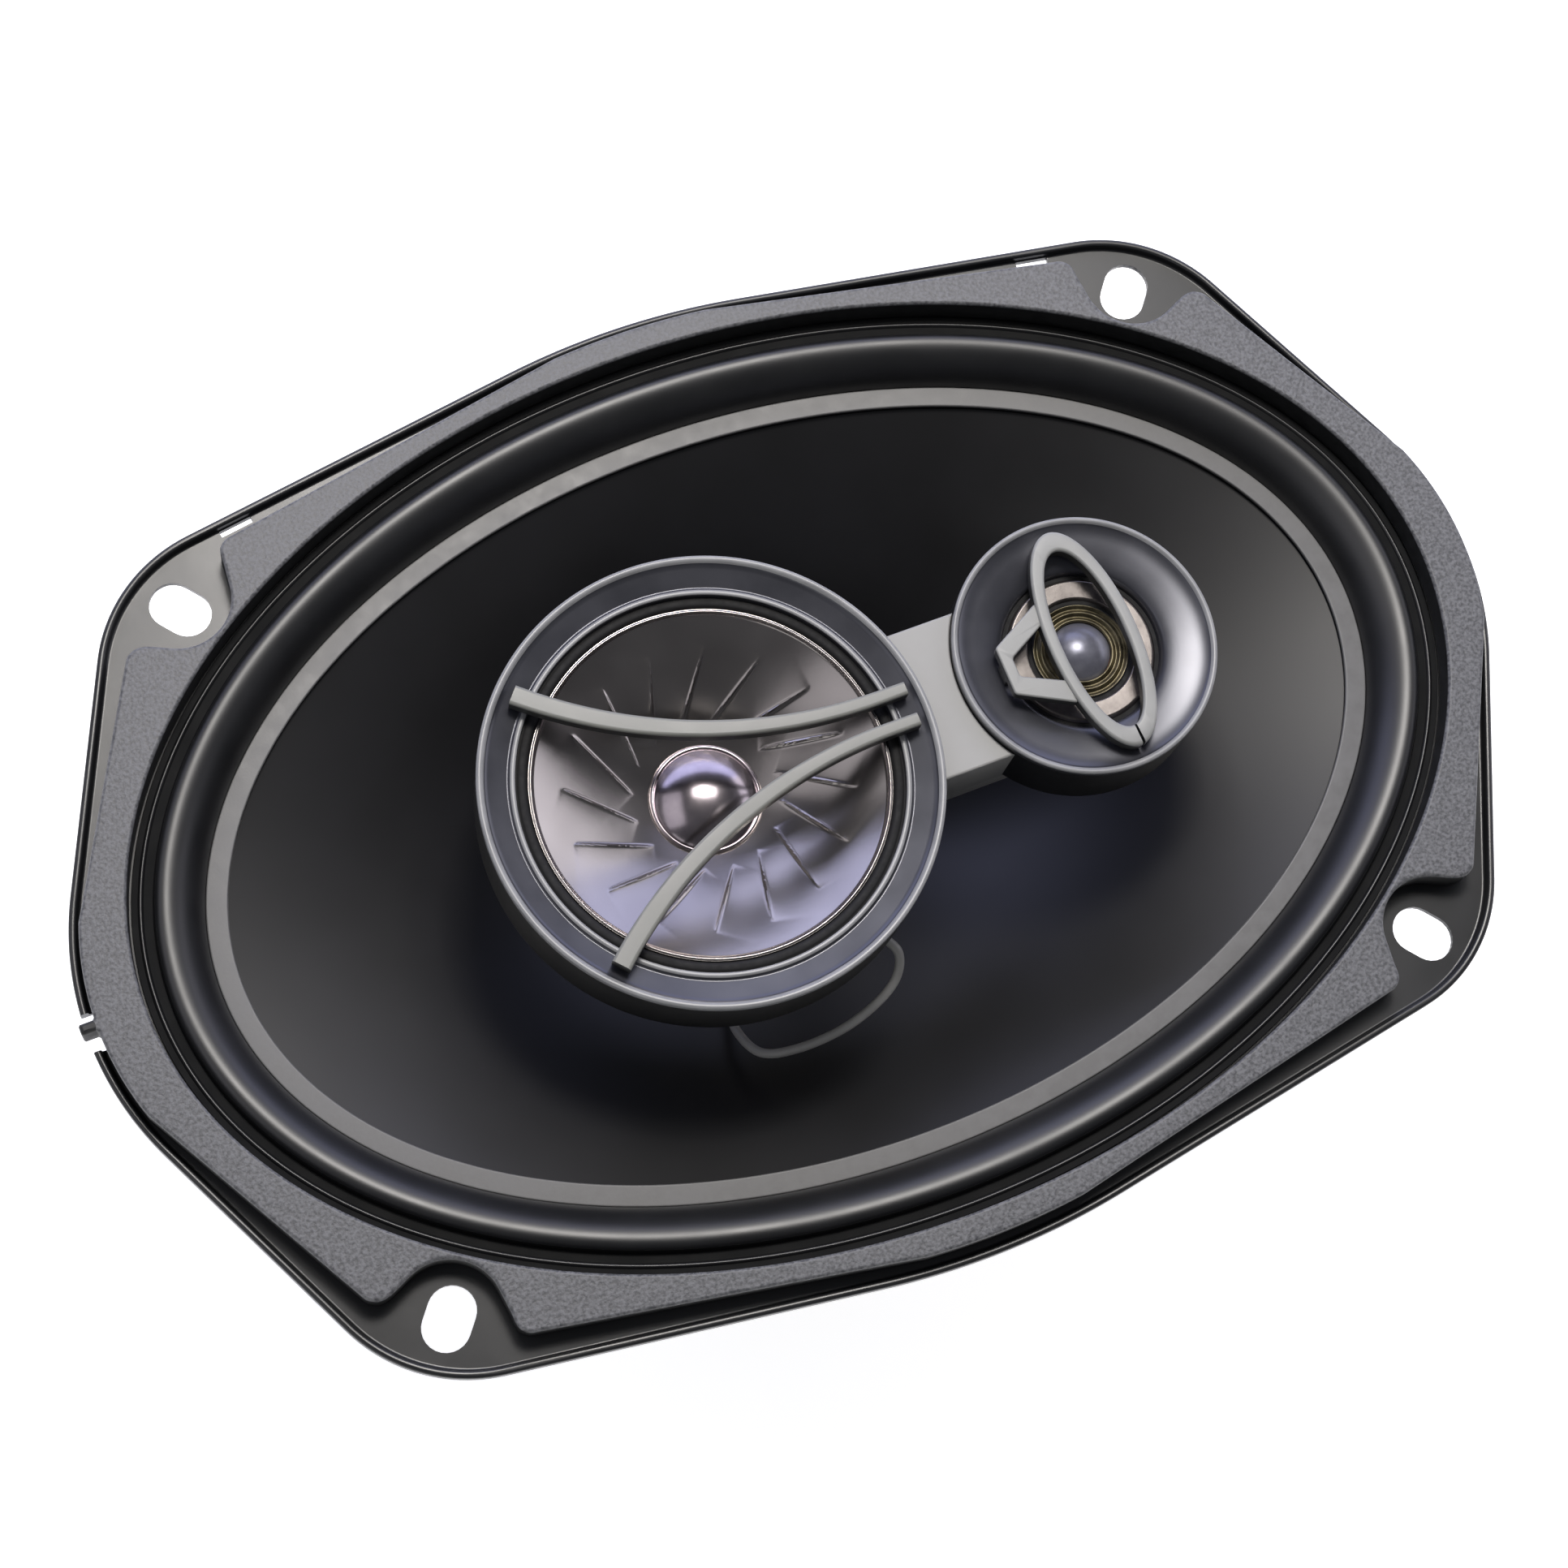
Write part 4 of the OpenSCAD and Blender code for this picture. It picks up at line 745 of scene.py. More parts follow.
def buildBasketBody():
    # a sheet from the rim wall down to the cup, open between the spokes, then given its thickness
    b = body
    rim = openingRing(flange["openIn"] - flange["wallT"] / 2)
    rimR = np.hypot(rim[:, 0], rim[:, 1])
    flat = np.ones(720)
    rows = [(rimR, -6.5, 0), (rimR, -12.0, 4.0), (flat * b["footR"], b["ledgeZ"] + 1.6, 3.0),
            (flat * (b["footR"] - 1.2), b["ledgeZ"], 1.0), (flat * b["cupR"], b["ledgeZ"], 1.2),
            (flat * b["cupR"], b["cupZ"], 1.5), (flat * b["holeR"], b["cupZ"], 0)]
    rings = [np.column_stack([r * np.cos(polarAngles), r * np.sin(polarAngles), flat * z]) for r, z, _ in rows]
    rings = roundRings(rings, [r[2] for r in rows], False, 5)
    # split the long slanted stretch so the windows can start and stop on their own rows
    slant = max(range(len(rings) - 1), key=lambda i: rings[i][0][2] - rings[i + 1][0][2])
    top, low = rings[slant], rings[slant + 1]
    shares = np.linspace(0, 1, 34)[1:-1]
    rings = rings[:slant + 1] + [top * (1 - u) + low * u for u in shares] + rings[slant + 1:]
    spokeSteps, windowSteps = 8, 10
    half = np.arange(-spokeSteps, spokeSteps + 1) / spokeSteps
    points, isWindow = [], []
    zMean = [float(r[:, 2].mean()) for r in rings]
    for ring, z in zip(rings, zMean):
        reach = np.hypot(ring[:, 0], ring[:, 1])
        radiusAt = lambda angle: np.interp(angle % tau, polarAngles, reach, period=tau)
        nearTop = min(max((b["windowTop"] - z) / b["flare"], 0), 1)
        nearLow = min(max((z - b["windowLow"]) / b["flare"], 0), 1)
        near = min(nearTop, nearLow)
        wide = b["halfWide"] + b["flare"] * (1 - math.sqrt(1 - (1 - near) ** 2))
        inside = b["windowLow"] < z < b["windowTop"]
        lift = min(1.0, max(0.0, min(b["windowTop"] + 4 - z, z - b["windowLow"] + 1) / 7))
        row = []
        for k, degrees in enumerate(b["spokes"]):
            here = math.radians(degrees)
            follow = math.radians(b["spokes"][(k + 1) % 6] + (360 if k == 5 else 0))
            spreadHere = wide / radiusAt(np.array([here]))[0]
            spreadNext = wide / radiusAt(np.array([follow]))[0]
            angles = list(here + half * spreadHere)
            across = list(half * wide)
            angles += list(np.linspace(here + spreadHere, follow - spreadNext, windowSteps + 1)[1:-1])
            across += [None] * (windowSteps - 1)
            for angle, v in zip(angles, across):
                r = radiusAt(np.array([angle]))[0]
                out = 0.0
                if v is not None:
                    out = b["ribHigh"] * math.exp(-(v / b["ribWide"]) ** 4) * lift
                    if inside:
                        out += b["curl"] * max(0.0, (abs(v) - wide + 1.6) / 1.6) ** 2 * lift
                row.append(((r + out) * math.cos(angle), (r + out) * math.sin(angle), z))
        points.append(row)
    around = len(points[0])
    perSpoke = 2 * spokeSteps + windowSteps
    window = [(k % perSpoke) >= 2 * spokeSteps for k in range(around)]
    faces = []
    for i in range(len(points) - 1):
        opened = zMean[i] <= b["windowTop"] + 0.01 and zMean[i + 1] >= b["windowLow"] - 0.01
        for k in range(around):
            if opened and window[k]:
                continue
            n = (k + 1) % around
            faces.append((i * around + k, (i + 1) * around + k, (i + 1) * around + n, i * around + n))
    piece = addPiece("basket_body", (np.array(points).reshape(-1, 3), faces), paintedSteel, weighted=False)
    solid = piece.modifiers.new("sheet", "SOLIDIFY")
    solid.thickness, solid.offset = b["sheetT"] * mm, 0
    applyModifiers(piece)
    loose = bmesh.new()
    loose.from_mesh(piece.data)
    bmesh.ops.delete(loose, geom=[v for v in loose.verts if not v.link_faces], context="VERTS")
    loose.to_mesh(piece.data)
    loose.free()
    smoothFaces(piece, 42)
    return piece


bodyPiece = placePiece(buildBasketBody(), "frame", ["basket"])

tab = {"half": 13.0, "low": -58.0, "high": -44.0, "y": -55.2, "t": 1.2, "boreX": 7.0, "boreZ": -50.0, "boreWide": 3.0}


def standingPlate(contours, nearY, farY, edge=0.2):
    # a plate drawn in X and Z that stands between two Y values
    points, faces = plateShape(contours, nearY, farY, edge)
    return np.column_stack([points[:, 0], points[:, 2], points[:, 1]]), faces


tabShape = standingPlate([softCorners([(tab["half"] * i, tab[j]) for i, j in
                                       ((-1, "low"), (1, "low"), (1, "high"), (-1, "high"))], 2.0)]
                         + [slotContour(s * tab["boreX"], tab["boreZ"], tab["boreWide"], tab["boreWide"], 0)
                            for s in (1, -1)], tab["y"], tab["y"] + tab["t"])
tabShelf = plateShape([softCorners([(-13, -55.2), (13, -55.2), (13, -50.5), (-13, -50.5)], 0.6)], -45.25, -44.05,
                      0.3)
tabPiece = placePiece(addPiece("basket_tab", mergeMeshes(tabShape, tabShelf), paintedSteel), "frame",
                      ["basket"])
print("basket built")


# gasket: moulded ring with a pocket round each slot

gasket = {"endIn": 1.9, "earIn": 4.9, "sideIn": 2.6, "low": 1.0, "high": 6.5, "edge": 0.55, "pocketR": 8.2,
          "mouth": 9.2, "corner": 3.2, "nibWide": 1.7}


def evenLine(line, step=0.3, reach=5):
    # equal steps along the line, then each point the mean of its neighbours
    line = np.array(line, float)
    run = np.concatenate([[0], np.cumsum(np.linalg.norm(np.diff(line, axis=0), axis=1))])
    places = np.linspace(0, run[-1], int(run[-1] / step))
    for _ in range(2):
        even = np.column_stack([np.interp(places, run, line[:, k]) for k in (0, 1)])
        count = len(even)
        line = np.array([even[max(i - min(reach, i, count - 1 - i), 0):i + min(reach, i, count - 1 - i) + 1].mean(0)
                         for i in range(count)])
        run = places
    return line


def gasketContour():
    g = gasket
    contour = [tuple(p) for p in outlineContour(g["endIn"], g["earIn"], g["sideIn"], 6.0, 2)]
    for sx, sy in ((1, 1), (-1, 1), (-1, -1), (1, -1)):
        turn = math.atan2(sy, sx)
        c, s = math.cos(turn), math.sin(turn)
        local = [((x - sx * flange["slotX"]) * c + (y - sy * flange["slotY"]) * s,
                  -(x - sx * flange["slotX"]) * s + (y - sy * flange["slotY"]) * c) for x, y in contour]
        outer = g["mouth"] + g["corner"]
        near = [i for i, (u, v) in enumerate(local) if u > -2 and abs(v) < outer]
        first, last = near[0], near[-1]
        reach = lambda v: float(np.interp(v, [p[1] for p in local[first - 1:last + 2]],
                                          [p[0] for p in local[first - 1:last + 2]]))
        bends, starts = [], []
        for side in (-1, 1):
            lip = np.array([reach(side * outer), side * outer])
            knee = np.array([reach(side * g["mouth"]), side * g["mouth"]])
            inner = np.array([knee[0] - g["corner"], side * (g["mouth"] - 0.25)])
            bends.append([(1 - u) ** 2 * lip + 2 * u * (1 - u) * knee + u * u * inner for u in np.linspace(0, 1, 7)])
            # the round wall starts where the mouth's bend has brought the line in
            starts.append(math.degrees(math.acos(min(max((inner[0] - 1.0) / g["pocketR"], -0.8), -0.1))))
        wall = np.radians(np.linspace(-starts[0], starts[1] - 360, 40))
        pocket = bends[0] + [(g["pocketR"] * math.cos(a), g["pocketR"] * math.sin(a)) for a in wall] + bends[1][::-1]
        world = [(sx * flange["slotX"] + u * c - v * s, sy * flange["slotY"] + u * s + v * c)
                 for u, v in evenLine(pocket)]
        contour = contour[:first] + world + contour[last + 1:]
    # the nib that fills the notch in the flange
    half = g["nibWide"] / 2
    left = min(range(len(contour)), key=lambda i: contour[i][0] + (0 if abs(contour[i][1]) < 3 else 999))
    x = contour[left][0]
    kept = [p for p in contour if not (p[0] < -100 and abs(p[1]) < half + 0.4)]
    after = next(i for i in range(len(kept)) if kept[i][0] < -100 and kept[i][1] < 0)
    tip = -flange["halfLength"] - 0.6
    return kept[:after] + [(x, half + 0.3), (x - 0.3, half), (tip + 0.2, half), (tip, half - 0.3),
                           (tip, -half + 0.3), (tip + 0.2, -half), (x - 0.3, -half), (x, -half - 0.3)] + kept[after:]


def ovalContour(inset, steps=360):
    return [((oval["openA"] - inset) * math.cos(tau * k / steps), (oval["openB"] - inset) * math.sin(tau * k / steps))
            for k in range(steps)]


gasketPiece = addPiece("gasket_ring", plateShape([gasketContour(), ovalContour(0)], gasket["low"], gasket["high"],
                                                 gasket["edge"], 4), gasketRubber, 45)
# the side walls and the nib take the darker rubber as painted shade
twoToned(gasketPiece, shadedWallRubber, lambda p: p.z < gasket["high"] - gasket["edge"] + 0.05 or p.x < -116.2)
placePiece(gasketPiece, "frame", ["gasket_ring"])
print("gasket built")


# cone, its grey ring and the rubber surround

def ovalCurve(count=288):
    angles = np.arange(count) * tau / count
    return lambda d: np.column_stack([(oval["openA"] - d) * np.cos(angles), (oval["openB"] - d) * np.sin(angles)])


def ovalSweep(profile, closed=True, count=288):
    rings = fanRings(ovalCurve(count), profile)
    return joinRings(roundRings(rings, [p[2] if len(p) > 2 else 0 for p in profile], closed), closed)


roll = {"outerIn": 0.3, "flatIn": 3.6, "rollWide": 7.7, "rollHigh": 3.7, "flatZ": 1.8, "rimZ": -2.5, "t": 0.8,
        "innerIn": 13.9, "backZ": 1.0, "backRimZ": -3.1, "beadIn": 1.3, "beadWide": 0.9, "beadHigh": 0.4}


def rollProfile():
    r = roll
    span = r["rimZ"] - r["flatZ"]
    turn = np.linspace(0, math.pi, 30)
    front = [(r["flatIn"] + r["rollWide"] * (1 - math.cos(u)) / 2,
              r["flatZ"] + span * (1 - math.cos(u)) / 2 + r["rollHigh"] * math.sin(u)) for u in turn]
    back = [(r["flatIn"] + r["t"] + (r["rollWide"] - 2 * r["t"]) * (1 - math.cos(u)) / 2,
             r["backZ"] + (r["backRimZ"] - r["backZ"]) * (1 - math.cos(u)) / 2 + (r["rollHigh"] - 0.1) * math.sin(u))
            for u in turn[::-1]]
    bead = [(r["beadIn"] + r["beadWide"] * u, r["flatZ"] + r["beadHigh"] * math.sin(u * math.pi))
            for u in np.linspace(0, 1, 9)]
    return ([(r["outerIn"], r["flatZ"], 0.15)] + bead + [(d, z) for d, z in front] + [(r["innerIn"], r["rimZ"], 0.1),
            (r["innerIn"], r["rimZ"] - 0.6, 0.1)] + back + [(r["outerIn"], r["backZ"], 0.1)])


def weighBlend(piece, weightOf):
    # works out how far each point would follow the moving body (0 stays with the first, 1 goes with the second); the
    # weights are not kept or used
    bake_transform(piece)
    weights = np.array([weightOf(v.co / mm) for v in piece.data.vertices], np.float32)


def blendPiece(piece, node, weightOf):
    # a soft piece between the frame and a moving body: its place is baked and its CAD node hidden; it is not attached
    # to either body
    weighBlend(piece, weightOf)
    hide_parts(node)
    return piece


def insetOf(point):
    # how far in from the opening's oval a point lies
    angle = math.atan2(point.y / oval["openB"], point.x / oval["openA"])
    low, high = -5.0, 60.0
    for _ in range(24):
        middle = (low + high) / 2
        a, b = oval["openA"] - middle, oval["openB"] - middle
        if (point.x / a) ** 2 + (point.y / b) ** 2 > 1:
            high = middle
        else:
            low = middle
    return (low + high) / 2


def reachFrom(axisX, p):
    # distance from an upright axis on the X line
    return math.hypot(p.x - axisX, p.y)


def easeBetween(value, start, end):
    t = min(max((value - start) / (end - start), 0.0), 1.0)
    return t * t * (3 - 2 * t)


surroundPiece = addPiece("surround", ovalSweep(rollProfile()), rollRubber, 50)
twoToned(surroundPiece, mattRubber,
         lambda p: insetOf(p) < roll["flatIn"] + 0.35 and not 1.35 < insetOf(p) < 2.15)
blendPiece(surroundPiece, "surround",
           lambda p: easeBetween(insetOf(p), roll["flatIn"] + 0.2, roll["flatIn"] + roll["rollWide"] - 0.2))

trim = {"outerIn": 11.3, "innerIn": 14.7, "low": -2.5, "high": -1.9}
trimProfile = [(trim["outerIn"], trim["low"], 0.1), (trim["outerIn"], trim["high"], 0.25),
               (trim["innerIn"], trim["high"], 0.3), (trim["innerIn"], trim["low"], 0.1)]
standIn("cone_trim_ring", ovalSweep(trimProfile), ringPlastic, "woofer_cone")

coneShape = {"rimIn": 11.3, "faceIn": 14.7, "rimZ": -3.1, "depth": 34.9, "neckR": 13.0, "t": 0.9}


def coneRings(count=288):
    c = coneShape
    angles = np.arange(count) * tau / count
    def ring(a, b, z):
        return np.column_stack([a * np.cos(angles), b * np.sin(angles), np.full(count, z)])
    def face(s, grow, drop):
        a = (oval["openA"] - c["faceIn"]) * (1 - s) + c["neckR"] * s + grow
        b = (oval["openB"] - c["faceIn"]) * (1 - s) + c["neckR"] * s + grow
        return ring(a, b, c["rimZ"] - c["depth"] * (0.75 * s + 0.25 * s * s) - drop)
    shares = np.linspace(0, 1, 44)
    rim = (oval["openA"] - c["rimIn"], oval["openB"] - c["rimIn"])
    rings = [ring(*rim, c["rimZ"])] + [face(s, 0, 0) for s in shares]
    rings += [face(s, 0.3 if s < 0.99 else 0.7, c["t"]) for s in shares[::-1]]
    return rings + [ring(*rim, c["rimZ"] - c["t"])]


standIn("cone", joinRings(coneRings(), True), conePlastic, "woofer_cone", 12)
print("cone and surround built")


# spider: seven pressed waves from the coil to the ledge

spider = {"innerR": 15.95, "outerR": 44.0, "rimR": 51.7, "collarR": 13.0, "waves": 7, "high": 1.8, "z": -44.0,
          "t": 0.5}


def spiderProfile():
    s = spider
    turns = np.linspace(0, 1, s["waves"] * 14 + 1)
    wave = [(s["innerR"] + (s["outerR"] - s["innerR"]) * u,
             s["z"] + s["high"] * (0.5 - 0.5 * math.cos(tau * s["waves"] * u))) for u in turns]
    top = [(r, z + s["t"]) for r, z in wave[::-1]]
    return ([(s["collarR"], s["z"] + 2.5), (s["collarR"], s["z"], 0.4)] + wave
            + [(s["rimR"], s["z"]), (s["rimR"], s["z"] + s["t"])] + top
            + [(s["collarR"] + 0.5, s["z"] + s["t"], 0.3), (s["collarR"] + 0.5, s["z"] + 2.5)])


blendPiece(addPiece("spider", turnedShape(0, 0, spiderProfile(), 216), spiderCloth, 60), "spider",
           lambda p: 1 - easeBetween(reachFrom(0, p), spider["innerR"], spider["outerR"]))


# motor: plates, magnet ring and the post's nut pocket

motor = {"topZ": -57.0, "topT": 5.0, "topR": 43.0, "gapR": 13.95, "magnetZ": -71.0, "magnetR": 45.0,
         "magnetHoleR": 22.0, "backZ": -76.0, "backR": 41.0, "poleR": 12.25, "poleTop": -51.5,
         "postR": 4.05, "pocketR": 7.5, "pocketH": 5.2}


def motorParts():
    m = motor
    return {
        "top_plate": ([(m["gapR"], m["topZ"], 0.3), (m["topR"], m["topZ"], 0.6),
                       (m["topR"], m["topZ"] + m["topT"], 0.6), (m["gapR"], m["topZ"] + m["topT"], 0.3)],
                      zincSteel, "plated_steel"),
        "magnet": ([(m["magnetHoleR"], m["magnetZ"], 0.8), (m["magnetR"], m["magnetZ"], 1.6),
                    (m["magnetR"], m["topZ"], 1.6), (m["magnetHoleR"], m["topZ"], 0.8)], ferrite, "ferrite"),
        "pole_yoke": ([(m["pocketR"], m["backZ"], 0.5), (m["backR"], m["backZ"], 1.2),
                       (m["backR"], m["magnetZ"], 0.8), (m["poleR"] + 2.0, m["magnetZ"], 1.0),
                       (m["poleR"], m["magnetZ"] + 2.0, 0.8),
                       (m["poleR"], m["poleTop"], 0.5), (m["postR"], m["poleTop"], 0.3),
                       (m["postR"], m["backZ"] + m["pocketH"], 0.2), (m["pocketR"], m["backZ"] + m["pocketH"], 0.2)],
                      zincSteel, "plated_steel"),
    }


for partName, (profile, finish, slotName) in motorParts().items():
    standIn(partName, turnedShape(0, 0, profile, 256), finish, "frame")


def rivetShapes(reach=36, firstTurn=45, count=4):
    # headed rivets through the cup's floor
    profile = [(0, -55.0), (2.0, -55.0), (2.0, -50.8), (3.4, -50.8, 0.2), (3.4, -49.7, 0.7), (0, -49.7)]
    turns = [math.radians(firstTurn + 360 / count * k) for k in range(count)]
    return mergeMeshes(*[turnedShape(reach * math.cos(a), reach * math.sin(a), profile, 40, False) for a in turns])


standIn("plate_rivets", rivetShapes(), brightSteel, "frame")


# post and its fastenings

def hexShape(acrossFlats, holeR, low, high, chamfer):
    # hexagon with its corners turned off at both faces
    angles = np.arange(72) * tau / 72
    flats = acrossFlats / 2 / np.cos((angles + math.pi / 6) % (math.pi / 3) - math.pi / 6)
    eased = np.minimum(flats, acrossFlats / 2 + 0.15)
    def ring(r, z):
        return np.column_stack([r * np.cos(angles), r * np.sin(angles), np.full(72, z)])
    rings = [ring(eased, low), ring(flats, low + chamfer), ring(flats, high - chamfer), ring(eased, high),
             ring(np.full(72, holeR), high), ring(np.full(72, holeR), low)]
    return joinRings(rings, True)


postProfile = [(0, -75.8), (3.0, -75.8, 0.4), (3.0, -70.8), (4.0, -70.8, 0.1), (4.0, -51.5), (8.0, -51.5, 0.3),
               (8.0, -49.5, 0.5), (4.0, -49.5, 0.2), (4.0, 3.0, 0.2), (2.0, 3.0), (2.0, -9.0), (0, -9.0)]
standIn("centre_post", turnedShape(0, 0, postProfile, 96, False), brightSteel, "frame")
washerProfile = [(3.05, -71.8, 0.15), (6.6, -71.8, 0.3), (6.6, -70.8, 0.15), (3.05, -70.8, 0.1)]
standIn("post_washer", turnedShape(0, 0, washerProfile, 96), brightSteel, "frame")
standIn("post_nut", hexShape(10.0, 3.0, -75.8, -71.8, 0.5), brightSteel, "frame")
print("motor built")


# terminal board and its blades

board = {"half": 15.0, "low": -59.0, "high": -45.0, "back": -56.8, "front": -55.2, "rivetX": 7.0, "rivetZ": -50.0}
bladeRows = {"terminal_positive": (-7.0, 6.3), "terminal_negative": (7.0, 4.8)}
boardShape = standingPlate([softCorners([(board["half"] * i, board[j]) for i, j in
                                         ((-1, "low"), (1, "low"), (1, "high"), (-1, "high"))], 1.5)]
                           + [slotContour(s * board["rivetX"], board["rivetZ"], 3.0, 3.0, 0) for s in (1, -1)],
                           board["back"], board["front"], 0.15)
standIn("terminal_board", boardShape, phenolicBoard, "frame")
for bladeName, (x, wide) in bladeRows.items():
    h = wide / 2
    tip = [(x - h + 1.1, -68), (x + h - 1.1, -68), (x + h, -66.4), (x + h, -47), (x - h, -47), (x - h, -66.4)]
    bladeShape = standingPlate([softCorners(tip, 0.4), slotContour(x, -64.0, 1.8, 1.8, 0),
                                slotContour(x, -50.0, 3.0, 3.0, 0)], -57.6, -56.8, 0.12)
    standIn(bladeName, bladeShape, tinnedBrass, "frame")
rivetTurn = Matrix.Rotation(math.radians(90), 4, "X")
eyeProfile = [(0, -4.3), (2.1, -4.3, 0.4), (2.1, -3.6), (1.5, -3.6), (1.5, 0), (2.4, 0), (2.4, 0.7, 0.4), (0, 0.7)]
eyes = [moveShape(turnedShape(0, 0, [(r, -z, *f) for r, z, *f in eyeProfile], 40, False), rivetTurn,
                  (s * board["rivetX"], -54.0, board["rivetZ"])) for s in (1, -1)]
standIn("terminal_rivets", mergeMeshes(*eyes), brightSteel, "frame")
print("terminals built")


# bridge that carries the two small drivers

bridge = {"midX": -18.1, "tweetX": 44.4, "halfWide": 12.25, "top": 18.0, "seat": 6.0, "under": 3.0,
          "midR": 35.6, "tweetR": 21.0, "padR": 21.0, "endPadR": 14.0, "yokeHole": 23.6,
          "postHole": 7.3}


def bridgeShape():
    b = bridge
    h = b["halfWide"]
    leftTurn = math.degrees(math.asin(h / (b["midR"] + 0.05)))
    rightTurn = math.degrees(math.asin(h / (b["tweetR"] + 0.05)))
    block = (arcPoints(b["midX"], 0, b["midR"] + 0.05, -leftTurn, leftTurn, 40)
             + arcPoints(b["tweetX"], 0, b["tweetR"] + 0.05, 180 - rightTurn, 180 + rightTurn, 40))
    padTurn = math.degrees(math.asin(h / b["padR"]))
    endTurn = math.degrees(math.asin(h / b["endPadR"]))
    base = (arcPoints(b["midX"], 0, b["padR"], padTurn, 360 - padTurn, 90)
            + arcPoints(b["tweetX"], 0, b["endPadR"], -endTurn, endTurn, 50))
    boss = [(4.05, -6.0, 0.3), (6.2, -6.0, 0.6), (6.2, 2.9, 0.2), (8.0, 3.2, 0.5), (4.05, 3.2)]
    return mergeMeshes(plateShape([block], b["seat"] - 0.2, b["top"], 0.35),
                       plateShape([base, slotContour(b["midX"], 0, b["yokeHole"], b["yokeHole"], 0, 40),
                                   slotContour(0, 0, b["postHole"], b["postHole"], 0, 20)],
                                  b["under"], b["seat"], 0.3),
                       turnedShape(0, 0, boss, 96))


standIn("bridge", bridgeShape(), bridgePlastic, "frame")
headProfile = [(0, 4.6), (1.5, 4.6), (1.5, 5.9, 0.15), (3.6, 5.9, 0.4), (3.6, 3.7, 0.1), (2.0, 3.7), (2.0, -7.0),
               (0, -7.0)]
standIn("post_screw", turnedShape(0, 0, headProfile, 72, False), brightSteel, "frame")


# midrange: shell, bezel, cone, cap, edge and guard

midrange = {"x": -18.1, "coneR": 27.7, "coneZ": 17.6, "capR": 8.7, "capZ": 8.2,
            "sag": 0.6, "creases": 16, "creaseStart": 11.4, "creaseEnd": 22.6, "creaseTurn": 20.0,
            "creaseFirst": 24.9, "creaseWide": 0.26, "creaseHigh": 0.2, "pleatHigh": 0.34, "pleatWide": 2.4,
            "beadR": 27.3, "beadHigh": 0.4}
shellProfile = [(11.5, 6.0, 0.2), (35.6, 6.0, 1.6), (35.6, 19.0, 0.1), (33.9, 19.0), (33.9, 16.9), (30.2, 16.9),
                (30.2, 14.9), (32.9, 12.9, 0.5), (32.9, 7.5, 1.0), (11.5, 7.5)]
standIn("midrange_housing", turnedShape(midrange["x"], 0, shellProfile, 256), shellPlastic, "frame")


bezelProfile = [(35.6, 19.0, 0.1), (35.6, 20.25, 0.5), (34.75, 20.3, 0.4), (34.35, 19.75, 0.25), (33.9, 19.45, 0.3),
                (30.75, 18.35, 0.3), (30.35, 18.9, 0.25), (29.7, 18.85, 0.25), (29.6, 17.7), (33.6, 17.7),
                (33.6, 19.0)]
bezelPiece = addPiece("midrange_bezel", turnedShape(midrange["x"], 0, bezelProfile, 288), dishPlastic, 60)
# the outer rim bead and the inner bead take the lighter grey as painted highlight
twoToned(bezelPiece, beadHighlightPlastic, lambda p: (reachFrom(midrange["x"], p) > 34.4 and p.z > 19.4)
         or 29.65 < reachFrom(midrange["x"], p) < 30.5 and p.z > 18.6)
placePiece(bezelPiece, "frame", ["midrange_bezel"])


def metallisedCone():
    # polymer film with aluminium evaporated on it: smoky mirror, with random patches a little darker
    look = {"dark": "#928d8a", "light": "#aaa5a2", "patch": 18, "roughness": 0.24, "grain": 1.6}
    material, tree = newMaterial("aluminisedPolymerFilm")
    place = addNode(tree, "ShaderNodeTexCoord").outputs["Object"]
    patches = addNode(tree, "ShaderNodeTexNoise", {"Scale": perMetre(look["patch"]), "Detail": 2.0},
                      {"Vector": place})
    colours = addNode(tree, "ShaderNodeValToRGB",
                      {"stops": [(0.35, fromHex(look["dark"])), (0.65, fromHex(look["light"]))]},
                      {"Fac": patches.outputs["Fac"]})
    gloss = addNode(tree, "ShaderNodeMapRange",
                    {"To Min": look["roughness"] - 0.05, "To Max": look["roughness"] + 0.05},
                    {"Value": patches.outputs["Fac"]})
    grain = addNode(tree, "ShaderNodeTexNoise", {"Scale": perMetre(look["grain"]), "Detail": 1.0},
                    {"Vector": place})
    bump = addNode(tree, "ShaderNodeBump", {"Strength": 1.0, "Distance": 0.006 * mm},
                   {"Height": grain.outputs["Fac"]})
    shader = addNode(tree, "ShaderNodeBsdfPrincipled", {"Metallic": 1.0},
                     {"Base Color": colours.outputs["Color"], "Roughness": gloss.outputs[0],
                      "Normal": bump.outputs["Normal"]})
    addNode(tree, "ShaderNodeOutputMaterial", links={"Surface": shader.outputs[0]})
    return material


mirrorFilm = metallisedCone()


def creaseLift(x, y):
    # straight pressed creases, each with a pleat that falls away on one side
    c = midrange
    lift = np.zeros(len(x))
    for k in range(c["creases"]):
        turn = math.radians(c["creaseFirst"] + 360 / c["creases"] * k)
        lead = turn + math.radians(c["creaseTurn"])
        start = c["creaseStart"] * np.array([math.cos(lead), math.sin(lead)])
        run = c["creaseEnd"] * np.array([math.cos(turn), math.sin(turn)]) - start
        length = np.hypot(*run)
        run = run / length
        along = (x - start[0]) * run[0] + (y - start[1]) * run[1]
        across = (y - start[1]) * run[0] - (x - start[0]) * run[1]
        share = np.clip(along / length, 0, 1)
        fade = np.sin(np.clip(share, 0.001, 0.999) * math.pi) ** 0.6 * ((along > 0) & (along < length))
        lift += c["creaseHigh"] * np.exp(-(across / c["creaseWide"]) ** 2) * fade
        lift += c["pleatHigh"] * np.exp(-np.abs(across) / c["pleatWide"]) * (across > 0) * fade
    return lift


